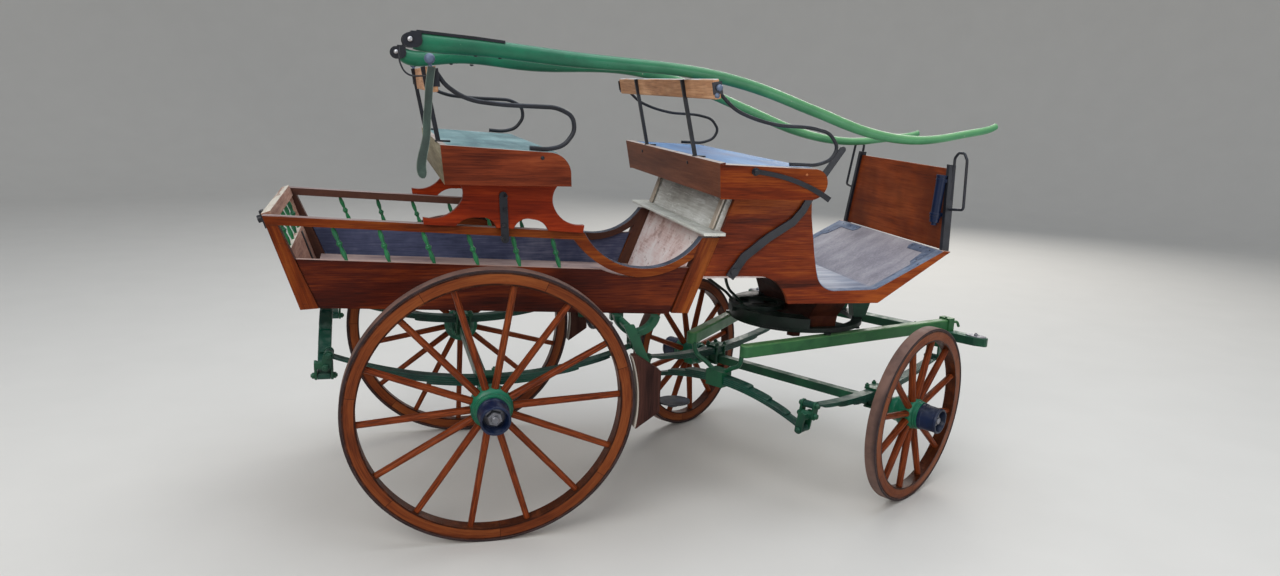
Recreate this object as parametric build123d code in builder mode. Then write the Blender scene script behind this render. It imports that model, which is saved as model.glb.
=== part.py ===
from build123d import *
from collections import namedtuple
from math import atan2, cos, degrees, hypot, pi, radians, sin, sqrt, tan
import os

os.makedirs("parts", exist_ok=True)

# ---------------------------------------------------------------------------
# Frame.  All places below are written in the carriage's own centreline frame,
# in millimetres: X forward from the rear axle, Y to the left from the
# centreline, Z up from the ground.  Every plane is made by the functions
# further down, which take off X_MID and Y_MID, so that the finished pieces
# stand with the middle of their common box over the origin.
X_MID = 730.7
Y_MID = 63.0

# Units: where each one is, and how far it is turned to the left
Unit = namedtuple("Unit", "x y turn")
KINGPIN_X = 1390.0
TURN = 31.6                              # the fore-carriage stands turned
BODY = Unit(0.0, 0.0, 0.0)
FORE = Unit(KINGPIN_X, 0.0, TURN)

# Wheels
REAR_R = 500.0
FRONT_R = 357.0
TYRE_T = 9.0                             # iron tyre
RIM_W = 46.0
FELLOE_T = 44.0
RIM_Y = 602.0                            # middle of the rim from the centreline
REAR_CAMBER = 5.0
FRONT_CAMBER = 2.2
ARM_R = 17.0                             # axle arm
BORE_R = 17.4

# Rear body.  Each long line falls gently towards the front:
# height = level at X 0 + slope * X
BOTTOM = (802.5, -0.0403)
PANEL_TOP = (965.0, -0.0441)
RAIL_TOP = (1100.0, -0.0507)
RAIL_BOT = (1072.0, -0.0500)
BODY_Y = 432.0                           # outer face of the side panels
BOARD_T = 20.0
POST_Y = 440.0                           # outer face of posts and rails
RAIL_W = 42.0

# Boot under the driver's seat
BOOT_Y = 440.0
BOOT_T = 22.0

# Seats
FSEAT_Z = 1350.0
FSEAT_Y = 630.0
RSEAT_Z = 1386.0
RSEAT_Y = 575.0


def level(line, x):
    return line[0] + line[1] * x


def spot(x, y, z, unit=BODY):
    c, s = cos(radians(unit.turn)), sin(radians(unit.turn))
    return (unit.x + x * c - y * s - X_MID, unit.y + x * s + y * c - Y_MID, z)


def way(x, y, z, unit=BODY):
    c, s = cos(radians(unit.turn)), sin(radians(unit.turn))
    return (x * c - y * s, x * s + y * c, z)


def seen_right(y, unit=BODY):
    """Upright plane along the unit, seen from its right: x forward, y up,
    extruding towards the right."""
    return Plane(origin=spot(0, y, 0, unit), x_dir=way(1, 0, 0, unit), z_dir=way(0, -1, 0, unit))


def seen_front(x, unit=BODY):
    """Upright plane across the unit: x to the left, y up, extruding forward."""
    return Plane(origin=spot(x, 0, 0, unit), x_dir=way(0, 1, 0, unit), z_dir=way(1, 0, 0, unit))


def seen_top(z, unit=BODY):
    """Flat plane: x forward, y to the left, extruding up."""
    return Plane(origin=spot(0, 0, z, unit), x_dir=way(1, 0, 0, unit), z_dir=(0, 0, 1))


def middle(unit=BODY):
    """The unit's own middle plane, for mirrored pieces."""
    return Plane(origin=spot(0, 0, 0, unit), x_dir=way(1, 0, 0, unit), z_dir=way(0, 1, 0, unit))


def leaning(y, z, lean):
    """Plane of a side board that leans out by `lean` degrees, seen from the right:
    x forward, y up the slope, extruding outwards to the right."""
    a = radians(lean)
    return Plane(origin=spot(0, y, z), x_dir=(1, 0, 0), z_dir=(0, -cos(a), -sin(a)))


def bends(points, share=0.42):
    """A radius for each corner of a bent rod, as large as its two runs allow."""
    radii = []
    for a, b, c in zip(points, points[1:], points[2:]):
        u, v = Vector(*b) - Vector(*a), Vector(*c) - Vector(*b)
        half = radians(u.get_angle(v)) / 2
        radii.append(min(u.length, v.length) * share / tan(half))
    return radii


def save(shape, name):
    shape.label = name
    export_step(shape, "parts/" + name + ".step")


def save_pair(shape, name, unit=BODY):
    """The right hand piece, and the left hand piece mirrored from it."""
    twin = mirror(shape, about=middle(unit))
    save(shape, name + "_right")
    save(twin, name + "_left")
    return twin


def save_both(shape, name, unit=BODY):
    """One node that holds the right hand piece and its mirror image."""
    twin = mirror(shape, about=middle(unit))
    save(Compound(children=[*shape.solids(), *twin.solids()]), name)
    return twin


# ---------------------------------------------------------------------------
# Wheels: tyre, spokes with felloes, and hub
HubStep = namedtuple("HubStep", "out radius")     # along the axle from the rim's middle
REAR_HUB = [HubStep(-96, 46), HubStep(-60, 58), HubStep(-50, 72), HubStep(2, 74), HubStep(12, 62), HubStep(30, 58), HubStep(30, 54), HubStep(104, 50)]
FRONT_HUB = [HubStep(-96, 44), HubStep(-60, 54), HubStep(-50, 62), HubStep(0, 62), HubStep(10, 56), HubStep(28, 55), HubStep(28, 52), HubStep(108, 49)]
Wheel = namedtuple("Wheel", "name unit side radius spokes camber hub spoke_root phase")   # phase: first spoke, from ahead
WHEELS = [
    Wheel("rear_wheel_right", BODY, -1, REAR_R, 14, REAR_CAMBER, REAR_HUB, 66, 4.4),
    Wheel("rear_wheel_left", BODY, 1, REAR_R, 14, REAR_CAMBER, REAR_HUB, 66, 14.2),
    Wheel("front_wheel_right", FORE, -1, FRONT_R, 12, FRONT_CAMBER, FRONT_HUB, 58, 19.7),
    Wheel("front_wheel_left", FORE, 1, FRONT_R, 12, FRONT_CAMBER, FRONT_HUB, 58, 22.7),
]
DISH = 14.0                              # spokes stand this far inboard at the hub


def wheel_height(w):
    c = radians(w.camber)
    return w.radius * cos(c) + RIM_W / 2 * sin(c)


def wheel_plane(w, out=0.0, turn=0.0):
    """Plane of the wheel: z outward along the axle arm, x forward, turned about z."""
    c = radians(w.camber)
    axle = Vector(*way(0, w.side * cos(c), -sin(c), w.unit))
    ahead = Vector(*way(1, 0, 0, w.unit))
    centre = Vector(*spot(0, w.side * RIM_Y, wheel_height(w), w.unit))
    up = axle.cross(ahead)
    x = ahead * cos(radians(turn)) + up * sin(radians(turn))
    return Plane(origin=centre + axle * out, x_dir=x, z_dir=axle)


for w in WHEELS:
    flat = wheel_plane(w)
    # section plane through the axle: x along a radius, y along the axle
    section = Plane(origin=flat.origin, x_dir=flat.x_dir, z_dir=-flat.y_dir)
    axle = Axis(flat.origin, flat.z_dir)
    rim_out = w.radius - TYRE_T
    rim_in = rim_out - FELLOE_T

    with BuildPart() as tyre:
        with BuildSketch(flat.offset(-RIM_W / 2)):
            Circle(w.radius)
            Circle(rim_out, mode=Mode.SUBTRACT)
        extrude(amount=RIM_W)
    save(tyre.part, w.name + "_tyre")

    with BuildPart() as wood:
        with BuildSketch(flat.offset(1 - RIM_W / 2)):
            Circle(rim_out)
            Circle(rim_in, mode=Mode.SUBTRACT)
        extrude(amount=RIM_W - 2)
        for i in range(w.spokes):
            turned = wheel_plane(w, 0.0, w.phase + 360.0 * i / w.spokes)
            root = turned.origin + turned.x_dir * w.spoke_root - turned.z_dir * DISH
            tip = turned.origin + turned.x_dir * (rim_in + 5)
            along = (tip - root).normalized()
            with BuildSketch(Plane(origin=root, x_dir=turned.y_dir, z_dir=along)):
                Ellipse(13, 16)
            with BuildSketch(Plane(origin=tip, x_dir=turned.y_dir, z_dir=along)):
                Ellipse(11, 13)
            loft()
        with BuildSketch(section):
            with BuildLine():
                Polyline(*[(s.radius, s.out) for s in w.hub], (0, w.hub[-1].out), (0, w.hub[0].out), close=True)
            make_face()
        revolve(axis=axle, mode=Mode.SUBTRACT)
    save(wood.part, w.name + "_spokes")

    with BuildPart() as hub:
        with BuildSketch(section):
            with BuildLine():
                Polyline(*[(s.radius, s.out) for s in w.hub], (0, w.hub[-1].out), (0, w.hub[0].out), close=True)
            make_face()
        revolve(axis=axle)
        with BuildSketch(flat.offset(w.hub[0].out)):
            Circle(BORE_R)
        extrude(amount=62 - w.hub[0].out, mode=Mode.SUBTRACT)
    save(hub.part, w.name + "_hub")


# ---------------------------------------------------------------------------
# Axles and springs; a spring is a pack of leaves on one bow
Leaf = namedtuple("Leaf", "reach place")          # share of the half length, place in the pack
LEAVES = [Leaf(1.0, 0), Leaf(0.82, 1), Leaf(0.60, 2), Leaf(0.38, 3)]
LEAF_T = 8.0
SPRING_W = 44.0
EYE_R = 14.0

REAR_AXLE_Z = 511.0
FRONT_AXLE_Z = 362.0
AXLE_S = 36.0
AXLE_END = 480.0
COLLAR_R = 38.0
Axle = namedtuple("Axle", "name unit height wheels")
AXLES = [Axle("rear_axle", BODY, REAR_AXLE_Z, WHEELS[0:2]), Axle("front_axle", FORE, FRONT_AXLE_Z, WHEELS[2:4])]
axle_parts = {}
for ax in AXLES:
    with BuildPart() as bar:
        with BuildSketch(seen_right(AXLE_END, ax.unit)):
            with Locations((0, ax.height)):
                Rectangle(AXLE_S, AXLE_S)
        extrude(amount=2 * AXLE_END)
        for w in ax.wheels:
            with BuildSketch(wheel_plane(w, w.hub[0].out - 26)):
                Circle(COLLAR_R)
            extrude(amount=22)
            with BuildSketch(wheel_plane(w, w.hub[0].out - 6)):
                Circle(ARM_R)
            extrude(amount=60 - w.hub[0].out + 2)
    axle_parts[ax.name] = bar.part
    save(bar.part, ax.name)

# Springs.  A side spring has its ends up, a cross spring has them down; `level` is
# the middle of the main leaf, on the hollow side of the bow
Spring = namedtuple("Spring", "name unit kind place level half rise")
SEAT = {"rear_spring": REAR_AXLE_Z + AXLE_S / 2 + 14, "front_spring": FRONT_AXLE_Z + AXLE_S / 2 + 8}
SPRINGS = [
    Spring("rear_spring", BODY, "side", 455.0, SEAT["rear_spring"] + 4 * LEAF_T, 530.0, 98.0),
    Spring("front_spring", FORE, "side", 420.0, SEAT["front_spring"] + 4 * LEAF_T, 508.0, 43.0),
    Spring("rear_cross_spring", BODY, "cross", -548.0, 756.0, 430.0, 166.0),
    Spring("front_cross_spring", FORE, "cross", -524.0, 452.0, 407.0, 83.0),
]
springs = {}
for sp in SPRINGS:
    sign = 1 if sp.kind == "side" else -1
    base = seen_right(-sp.place + SPRING_W / 2, sp.unit) if sp.kind == "side" else seen_front(sp.place - SPRING_W / 2, sp.unit)
    bow = (sp.half ** 2 + sp.rise ** 2) / (2 * sp.rise)
    with BuildPart() as spring:
        with BuildSketch(Plane(origin=base.origin + Vector(0, 0, sp.level), x_dir=base.x_dir, z_dir=base.z_dir)):
            for leaf in LEAVES:
                r_in = bow + leaf.place * LEAF_T
                r_out = r_in + LEAF_T
                half_turn = atan2(sp.half, bow - sp.rise) * leaf.reach
                a, m = sin(half_turn), cos(half_turn)
                with BuildLine():
                    inner = ThreePointArc((-r_in * a, sign * (bow - r_in * m)), (0, sign * (bow - r_in)), (r_in * a, sign * (bow - r_in * m)))
                    outer = ThreePointArc((-r_out * a, sign * (bow - r_out * m)), (0, sign * (bow - r_out)), (r_out * a, sign * (bow - r_out * m)))
                    Line(inner @ 0, outer @ 0)
                    Line(inner @ 1, outer @ 1)
                make_face()
            for end in (-1, 1):
                with Locations((end * sp.half, sign * sp.rise)):
                    Circle(EYE_R)
        extrude(amount=SPRING_W)
        if sp.kind == "side":
            # block on the axle and clamp plate over the leaves
            low = (REAR_AXLE_Z if sp.unit is BODY else FRONT_AXLE_Z) + AXLE_S / 2
            with BuildSketch(seen_top(low, sp.unit)):
                with Locations((0, -sp.place)):
                    Rectangle(64, SPRING_W + 8)
            extrude(amount=SEAT[sp.name] - low + 4)
            with BuildSketch(seen_top(sp.level - 4, sp.unit)):
                with Locations((0, -sp.place)):
                    Rectangle(86, SPRING_W + 22)
            extrude(amount=16)
    springs[sp.name] = spring.part
    if sp.kind == "side":
        save_both(spring.part, sp.name + "s", sp.unit)
    else:
        save(spring.part, sp.name)

# ---------------------------------------------------------------------------
# Fore-carriage: futchells, splinter bar, lower turntable ring
RING_OUT = 285.0
RING_IN = 243.0
RING_LOW = 642.0                         # underside of the lower ring
RING_T = 9.0
KING_R = 19.0
FUTCHELL_REAR = (-560.0, -128.0)
FUTCHELL_FRONT = (585.0, -455.0)
FUTCHELL_H = 50.0
FUTCHELL_W = 44.0
FUTCHELL_LOW = 586.0
with BuildPart() as futchell:
    dx, dy = FUTCHELL_FRONT[0] - FUTCHELL_REAR[0], FUTCHELL_FRONT[1] - FUTCHELL_REAR[1]
    with BuildSketch(seen_top(FUTCHELL_LOW, FORE)):
        with Locations(Location(((FUTCHELL_FRONT[0] + FUTCHELL_REAR[0]) / 2, (FUTCHELL_FRONT[1] + FUTCHELL_REAR[1]) / 2), degrees(atan2(dy, dx)))):
            SlotOverall(hypot(dx, dy), FUTCHELL_W)
    extrude(amount=FUTCHELL_H)
    fillet(futchell.faces().sort_by(Axis.Z)[-1].edges() + futchell.faces().sort_by(Axis.Z)[0].edges(), radius=8)
save_both(futchell.part, "futchells", FORE)

SPLINTER_X = 545.0
SPLINTER_HALF = 640.0
SPLINTER_H = 38.0
SPLINTER_PLAN = [(-29, -590), (-29, 590), (-15, 634), (-9, SPLINTER_HALF), (9, SPLINTER_HALF), (15, 634), (29, 590), (29, -590), (15, -634), (9, -SPLINTER_HALF), (-9, -SPLINTER_HALF), (-15, -634)]
with BuildPart() as splinter_bar:
    with BuildSketch(seen_top(FUTCHELL_LOW - SPLINTER_H, FORE)):
        with BuildLine():
            Polyline(*[(SPLINTER_X + a, b) for a, b in SPLINTER_PLAN], close=True)
        make_face()
    extrude(amount=SPLINTER_H)
save(splinter_bar.part, "splinter_bar")

# Shackles between side and cross springs, right hand side: a fork round the side
# spring's eye, a cross bolt below it, and a fork round the cross spring's eye
Shackle = namedtuple("Shackle", "unit side_eye bolt cross_eye")
SHACKLES = [
    Shackle(BODY, (-530, -455, 673), (-540, -448, 634), (-548, -430, 590)),
    Shackle(FORE, (-508, -420, 463), (-516, -416, 425), (-524, -407, 369)),
]
CHEEK = 8.0
shackle_parts = []
for sh in SHACKLES:
    side_eye, bolt, cross_eye = sh.side_eye, sh.bolt, sh.cross_eye
    gap = SPRING_W / 2 + 0.5
    with BuildPart() as fork:
        for y in (side_eye[1] + gap + CHEEK, side_eye[1] - gap):
            with BuildSketch(seen_right(y, sh.unit)):
                run = (bolt[0] - side_eye[0], bolt[2] - side_eye[2])
                with Locations(Location(((side_eye[0] + bolt[0]) / 2, (side_eye[2] + bolt[2]) / 2), degrees(atan2(run[1], run[0])))):
                    SlotCenterToCenter(hypot(*run), 32)
            extrude(amount=CHEEK)
        with BuildSketch(seen_right(side_eye[1] + gap + CHEEK, sh.unit)):
            with Locations((bolt[0], bolt[2])):
                Circle(15)
        extrude(amount=2 * (gap + CHEEK))
        with BuildSketch(seen_right(side_eye[1] + 42, sh.unit)):
            with Locations((side_eye[0], side_eye[2]), (bolt[0], bolt[2])):
                Circle(9)
        extrude(amount=84)
        # lower fork, with the bridge that joins its cheeks
        with BuildSketch(seen_front(cross_eye[0] - gap - CHEEK, sh.unit)):
            with Locations((bolt[1], bolt[2] - 2)):
                Rectangle(30, 22)
        extrude(amount=2 * (gap + CHEEK))
        for x in (cross_eye[0] - gap - CHEEK, cross_eye[0] + gap):
            with BuildSketch(seen_front(x, sh.unit)):
                run = (cross_eye[1] - bolt[1], cross_eye[2] - bolt[2])
                with Locations(Location(((cross_eye[1] + bolt[1]) / 2, (cross_eye[2] + bolt[2]) / 2), degrees(atan2(run[1], run[0])))):
                    SlotCenterToCenter(hypot(*run), 30)
            extrude(amount=CHEEK)
        with BuildSketch(seen_front(cross_eye[0] - 40, sh.unit)):
            with Locations((cross_eye[1], cross_eye[2])):
                Circle(9)
        extrude(amount=80)
    shackle_parts.append(fork.part)

# Hangers under the splinter bar for the front ends of the side springs
Lump = namedtuple("Lump", "x0 x1 y0 y1 z0 z1")
HANGER = [
    Lump(490, 574, -440, -400, 528, FUTCHELL_LOW - SPLINTER_H),
    Lump(490, 530, -450, -390, 516, FUTCHELL_LOW - SPLINTER_H),
]
FRONT_EYE = (508.0, 463.0)
with BuildPart() as knuckle:
    add(shackle_parts[1])
    for lump in HANGER:
        with BuildSketch(seen_top(lump.z0, FORE)):
            with Locations(((lump.x0 + lump.x1) / 2, (lump.y0 + lump.y1) / 2)):
                Rectangle(lump.x1 - lump.x0, lump.y1 - lump.y0)
        extrude(amount=lump.z1 - lump.z0)
    for y in (-390, -442.5):
        with BuildSketch(seen_right(y, FORE)):
            with Locations(Location((FRONT_EYE[0] + 1, (FRONT_EYE[1] + 524) / 2), 90)):
                SlotCenterToCenter(524 - FRONT_EYE[1], 34)
        extrude(amount=7.5)
    with BuildSketch(seen_right(-386, FORE)):
        with Locations(FRONT_EYE):
            Circle(9)
    extrude(amount=68)
    add(springs["front_spring"], mode=Mode.SUBTRACT)
    add(springs["front_cross_spring"], mode=Mode.SUBTRACT)
LINK = [(-544, -122, 596), (-536, -112, 545), (-526, -60, 520), (-524, -20, 492)]
with BuildPart() as link:
    with BuildLine():
        path = FilletPolyline(*[spot(*p, FORE) for p in LINK], radius=bends(LINK))
    with BuildSketch(Plane(origin=path @ 0, z_dir=path % 0)):
        Circle(9)
    sweep(path=path)
    with BuildSketch(seen_top(440, FORE)):
        with Locations((-524, -20)):
            Rectangle(62, 40)
    extrude(amount=64)
    add(springs["front_cross_spring"], mode=Mode.SUBTRACT)
    add(futchell.part, mode=Mode.SUBTRACT)
knuckle_twin = mirror(knuckle.part, about=middle(FORE))
link_twin = mirror(link.part, about=middle(FORE))
with BuildPart() as forgings:
    add(knuckle.part)
    add(knuckle_twin)
    add(link.part)
    add(link_twin)
save(forgings.part, "front_shackles")

# Collar and hook on the front end of each futchell
dx, dy = FUTCHELL_FRONT[0] - FUTCHELL_REAR[0], FUTCHELL_FRONT[1] - FUTCHELL_REAR[1]
run = hypot(dx, dy)
HOOK_X, HOOK_Y = FUTCHELL_FRONT[0] - 52 * dx / run, FUTCHELL_FRONT[1] - 52 * dy / run
with BuildPart() as collar:
    with BuildSketch(Plane(origin=spot(HOOK_X, HOOK_Y, FUTCHELL_LOW + FUTCHELL_H / 2, FORE), x_dir=(0, 0, 1), z_dir=way(dx / run, dy / run, 0, FORE))):
        Rectangle(FUTCHELL_H + 14, FUTCHELL_W + 14)
    extrude(amount=34)
    hook = [(FUTCHELL_FRONT[0] - 6, FUTCHELL_FRONT[1] + 3, 616), (FUTCHELL_FRONT[0] + 38, FUTCHELL_FRONT[1] - 8, 616), (FUTCHELL_FRONT[0] + 50, FUTCHELL_FRONT[1] - 12, 592)]
    with BuildLine():
        path = FilletPolyline(*[spot(*p, FORE) for p in hook], radius=bends(hook))
    with BuildSketch(Plane(origin=path @ 0, z_dir=path % 0)):
        Circle(6)
    sweep(path=path)
    add(futchell.part, mode=Mode.SUBTRACT)
    add(splinter_bar.part, mode=Mode.SUBTRACT)
save_both(collar.part, "shaft_couplings", FORE)

with BuildPart() as ring_low:
    with BuildSketch(seen_top(RING_LOW, FORE)):
        Circle(RING_OUT)
        Circle(RING_IN, mode=Mode.SUBTRACT)
        Rectangle(64, 2 * RING_IN + 10)
    extrude(amount=RING_T)
    with BuildSketch(seen_top(RING_LOW, FORE)):
        Circle(KING_R + 0.6)
    extrude(amount=RING_T, mode=Mode.SUBTRACT)
    # pads between ring and futchells
    with BuildSketch(seen_top(FUTCHELL_LOW + FUTCHELL_H, FORE)):
        for s in (-1, 1):
            with Locations((-140, s * 252), (60, s * 268)):
                Circle(15)
    extrude(amount=RING_LOW - FUTCHELL_LOW - FUTCHELL_H)
save(ring_low.part, "turntable_lower_ring")

# ---------------------------------------------------------------------------
# Turntable on the body: ring, rear bed, stay rods, front bracket, and transom with the kingpin
BOOT_BOTTOM = 802.0
BOOT_FLOOR = 905.0                       # underside of the boot's floor
UPPER_LOW = RING_LOW + RING_T + 0.4
BED_LOW = UPPER_LOW + RING_T
BED_T = 40.0
with BuildPart() as ring_up:
    with BuildSketch(seen_top(UPPER_LOW)):
        with Locations((KINGPIN_X, 0)):
            Circle(RING_OUT)
            Circle(RING_IN, mode=Mode.SUBTRACT)
    extrude(amount=RING_T)

TRANSOM_W = 130.0
with BuildPart() as transom:
    with BuildSketch(seen_front(KINGPIN_X - TRANSOM_W / 2)):
        with BuildLine():
            Polyline((-250, BED_LOW), (250, BED_LOW), (262, 708), (352, BOOT_BOTTOM), (-352, BOOT_BOTTOM), (-262, 708), close=True)
        make_face()
    extrude(amount=TRANSOM_W)
    with BuildSketch(seen_top(BOOT_BOTTOM)):
        with Locations((1410, 0)):
            Rectangle(220, 2 * (BOOT_Y - BOOT_T))
    extrude(amount=32)
    with BuildSketch(seen_top(560)):
        with Locations((KINGPIN_X, 0)):
            Circle(KING_R)
    extrude(amount=BED_LOW - 560)
    with BuildSketch(seen_top(560)):
        with Locations((KINGPIN_X, 0)):
            RegularPolygon(32, 6)
    extrude(amount=22)
save(transom.part, "transom")

BED_OUT = RING_OUT + 4
BED_IN = 205.0
EYE_X = 1205.0
with BuildPart() as bed:
    with BuildSketch(seen_top(BED_LOW)):
        with Locations((KINGPIN_X, 0)):
            Circle(BED_OUT)
            Circle(BED_IN, mode=Mode.SUBTRACT)
        with Locations((KINGPIN_X + 300 - TRANSOM_W / 2, 0)):
            Rectangle(600, 700, mode=Mode.SUBTRACT)
    extrude(amount=BED_T)
    # round eye plate over the bed, where the two stays meet it
    with BuildSketch(seen_top(BED_LOW + BED_T)):
        with Locations((EYE_X, 0)):
            Circle(120)
            Circle(92, mode=Mode.SUBTRACT)
    extrude(amount=16)
    with BuildSketch(seen_top(BED_LOW + 20)):
        with Locations((EYE_X, 0)):
            Rectangle(238, 44)
    extrude(amount=BED_T - 18)
    add(transom.part, mode=Mode.SUBTRACT)

STAYS = [                                         # each is a round rod
    [(1120, -60, BED_LOW + BED_T + 6), (1096, -75, 738), (1000, -170, 812), (968, -200, BOOT_FLOOR - 5)],
    [(1120, 60, BED_LOW + BED_T + 6), (1096, 75, 738), (1000, 170, 812), (968, 200, BOOT_FLOOR - 5)],
]
with BuildPart() as stays:
    for stay in STAYS:
        with BuildLine():
            path = FilletPolyline(*[spot(*p) for p in stay], radius=bends(stay))
        with BuildSketch(Plane(origin=path @ 0, z_dir=path % 0)):
            Circle(6)
        sweep(path=path)
        # foot plate under the boot's floor
        with BuildSketch(seen_top(BOOT_FLOOR - 5)):
            with Locations((stay[-1][0], stay[-1][1])):
                Rectangle(60, 36)
        extrude(amount=5)
with BuildPart() as upper:
    add(ring_up.part)
    add(bed.part)
    add(stays.part)
save(upper.part, "turntable_upper_ring")

with BuildPart() as front_bracket:
    for y in (-85, 85):
        with BuildSketch(seen_right(y + 22)):
            with BuildLine():
                Polyline((1618, BED_LOW), (1672, BED_LOW), (1690, 720), (1690, 923), (1600, 876), (1604, 730), close=True)
            make_face()
        extrude(amount=44)
        with BuildSketch(seen_front(1572)):
            with Locations((y, 772)):
                Circle(24)
        extrude(amount=60)
save(front_bracket.part, "turntable_bracket")

# ---------------------------------------------------------------------------
# Rear body
REAR_BOT = (-558.0, level(BOTTOM, -558.0))
PANEL_REAR = (-628.0, level(PANEL_TOP, -628.0))
FRONT_POST = [(678.0, 781.0), (743.0, 778.0), (850.0, 1062.0), (783.0, 1062.0)]   # rear foot, front foot, front top, rear top
with BuildPart() as side_panel:
    with BuildSketch(seen_right(-BODY_Y + BOARD_T)):
        with BuildLine():
            Polyline((670, level(BOTTOM, 670)), REAR_BOT, PANEL_REAR, (405, level(PANEL_TOP, 405)))
            ThreePointArc((405, level(PANEL_TOP, 405)), (536, 918), (690, 949))
            Polyline((690, 949), (739, 951), (670, level(BOTTOM, 670)))
        make_face()
    extrude(amount=BOARD_T)
panel_twin = save_both(side_panel.part, "side_panels")

with BuildPart() as rail_frame:
    with BuildSketch(seen_right(-POST_Y + RAIL_W)):
        # top rail with the scoop for stepping in
        with BuildLine():
            Polyline((-679, level(RAIL_BOT, -679)), (-725, level(RAIL_TOP, -725)), (339, level(RAIL_TOP, 339)))
            l1 = ThreePointArc((339, level(RAIL_TOP, 339)), (400, 1008), (539, 951))
            l2 = ThreePointArc((539, 951), (688, 977), (783, 1062))
            Line((783, 1062), (790, 1020))
            l3 = ThreePointArc((790, 1020), (694, 951), (539, 918))
            l4 = ThreePointArc((539, 918), (368, 989), (304, level(RAIL_BOT, 304)))
            Line((304, level(RAIL_BOT, 304)), (-679, level(RAIL_BOT, -679)))
        make_face()
        with BuildLine():
            Polyline((-725, 1136.8), (-617, 822), (-558, 826), (-679, 1109), (-725, 1136.8))
        make_face()
        with BuildLine():
            Polyline(*FRONT_POST, close=True)
        make_face()
    extrude(amount=RAIL_W)
    add(side_panel.part, mode=Mode.SUBTRACT)
rail_twin = save_pair(rail_frame.part, "rail_frame")

# Floor of the rear body
FLOOR_UP = 20.0                          # underside, above the panels' lower edge
with BuildPart() as body_floor:
    with BuildSketch(seen_right(-398)):
        with BuildLine():
            Polyline((-590, level(BOTTOM, -590) + FLOOR_UP), (726, level(BOTTOM, 726) + FLOOR_UP), (732, level(BOTTOM, 732) + FLOOR_UP + 18), (-590, level(BOTTOM, -590) + FLOOR_UP + 18), close=True)
        make_face()
    extrude(amount=-796)
    add(side_panel.part, mode=Mode.SUBTRACT)
save(body_floor.part, "body_floor")

# Turned spindles between panel and rail
Spindle = namedtuple("Spindle", "top foot")       # X at the rail and at the panel
SPINDLES = [Spindle(-512, -466), Spindle(-362, -328), Spindle(-220, -178), Spindle(-68, -30), Spindle(86, 116), Spindle(226, 258)]
SpindleStep = namedtuple("SpindleStep", "along radius")
SPINDLE = [SpindleStep(0, 5), SpindleStep(0.18, 8), SpindleStep(0.42, 5.5), SpindleStep(0.46, 10.5), SpindleStep(0.54, 10.5), SpindleStep(0.58, 5.5), SpindleStep(0.82, 8), SpindleStep(1, 5)]
with BuildPart() as spindles:
    for sp in SPINDLES:
        foot = Vector(*spot(sp.foot, -BODY_Y + BOARD_T / 2, level(PANEL_TOP, sp.foot)))
        top = Vector(*spot(sp.top, -BODY_Y + BOARD_T / 2, level(RAIL_BOT, sp.top)))
        rise = (top - foot).normalized()
        long = (top - foot).length
        lean = Plane(origin=foot, x_dir=rise, z_dir=(0, -1, 0))
        with BuildSketch(lean):
            with BuildLine():
                Polyline((0, 0), *[(s.along * long, s.radius) for s in SPINDLE], (long, 0), close=True)
            make_face()
        revolve(axis=Axis(foot, rise))
    add(side_panel.part, mode=Mode.SUBTRACT)
    add(rail_frame.part, mode=Mode.SUBTRACT)
save_both(spindles.part, "spindles")

# Tailboard, leaning back between the rear posts
TAIL_FOOT = (-600.0, 824.0)
TAIL_LEAN = degrees(atan2(108, 315))
TAIL_HALF = 390.0
tail = Plane(origin=spot(TAIL_FOOT[0], 0, TAIL_FOOT[1]), x_dir=(0, -1, 0), z_dir=(-cos(radians(TAIL_LEAN)), 0, -sin(radians(TAIL_LEAN))))
TAIL_T = 18.0
TAIL_PANEL = 172.0                       # height of the lower panel
TAIL_RAIL = (296.0, 44.0, 30.0)          # foot, height and thickness of the top rail
HINGE = (-612.0, 826.0)                  # hinge pin, X and Z
with BuildPart() as tailboard:
    with BuildSketch(tail):
        with Locations((0, 6 + TAIL_PANEL / 2)):
            Rectangle(2 * TAIL_HALF, TAIL_PANEL)
        for side in (-1, 1):
            with Locations((side * (TAIL_HALF - 16), (6 + TAIL_RAIL[0]) / 2)):
                Rectangle(32, TAIL_RAIL[0] - 6)
    extrude(amount=TAIL_T)
    with BuildSketch(tail.offset(TAIL_T / 2 - TAIL_RAIL[2] / 2)):
        with Locations((0, TAIL_RAIL[0] + TAIL_RAIL[1] / 2)):
            Rectangle(2 * TAIL_HALF, TAIL_RAIL[1])
    extrude(amount=TAIL_RAIL[2])
    tail_low = 6 + TAIL_PANEL
    tail_gap = TAIL_RAIL[0] - tail_low
save(tailboard.part, "tailboard")

with BuildPart() as tail_spindles:
    for across in (-290, -145, 0, 145, 290):
        foot = tail.offset(TAIL_T / 2).from_local_coords(Vector(across, tail_low, 0))
        rise = tail.y_dir
        with BuildSketch(Plane(origin=foot, x_dir=rise, z_dir=tail.z_dir)):
            with BuildLine():
                Polyline((0, 0), *[(s.along * tail_gap, s.radius) for s in SPINDLE], (tail_gap, 0), close=True)
            make_face()
        revolve(axis=Axis(foot, rise))
    add(tailboard.part, mode=Mode.SUBTRACT)
save(tail_spindles.part, "tailboard_spindles")

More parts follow.
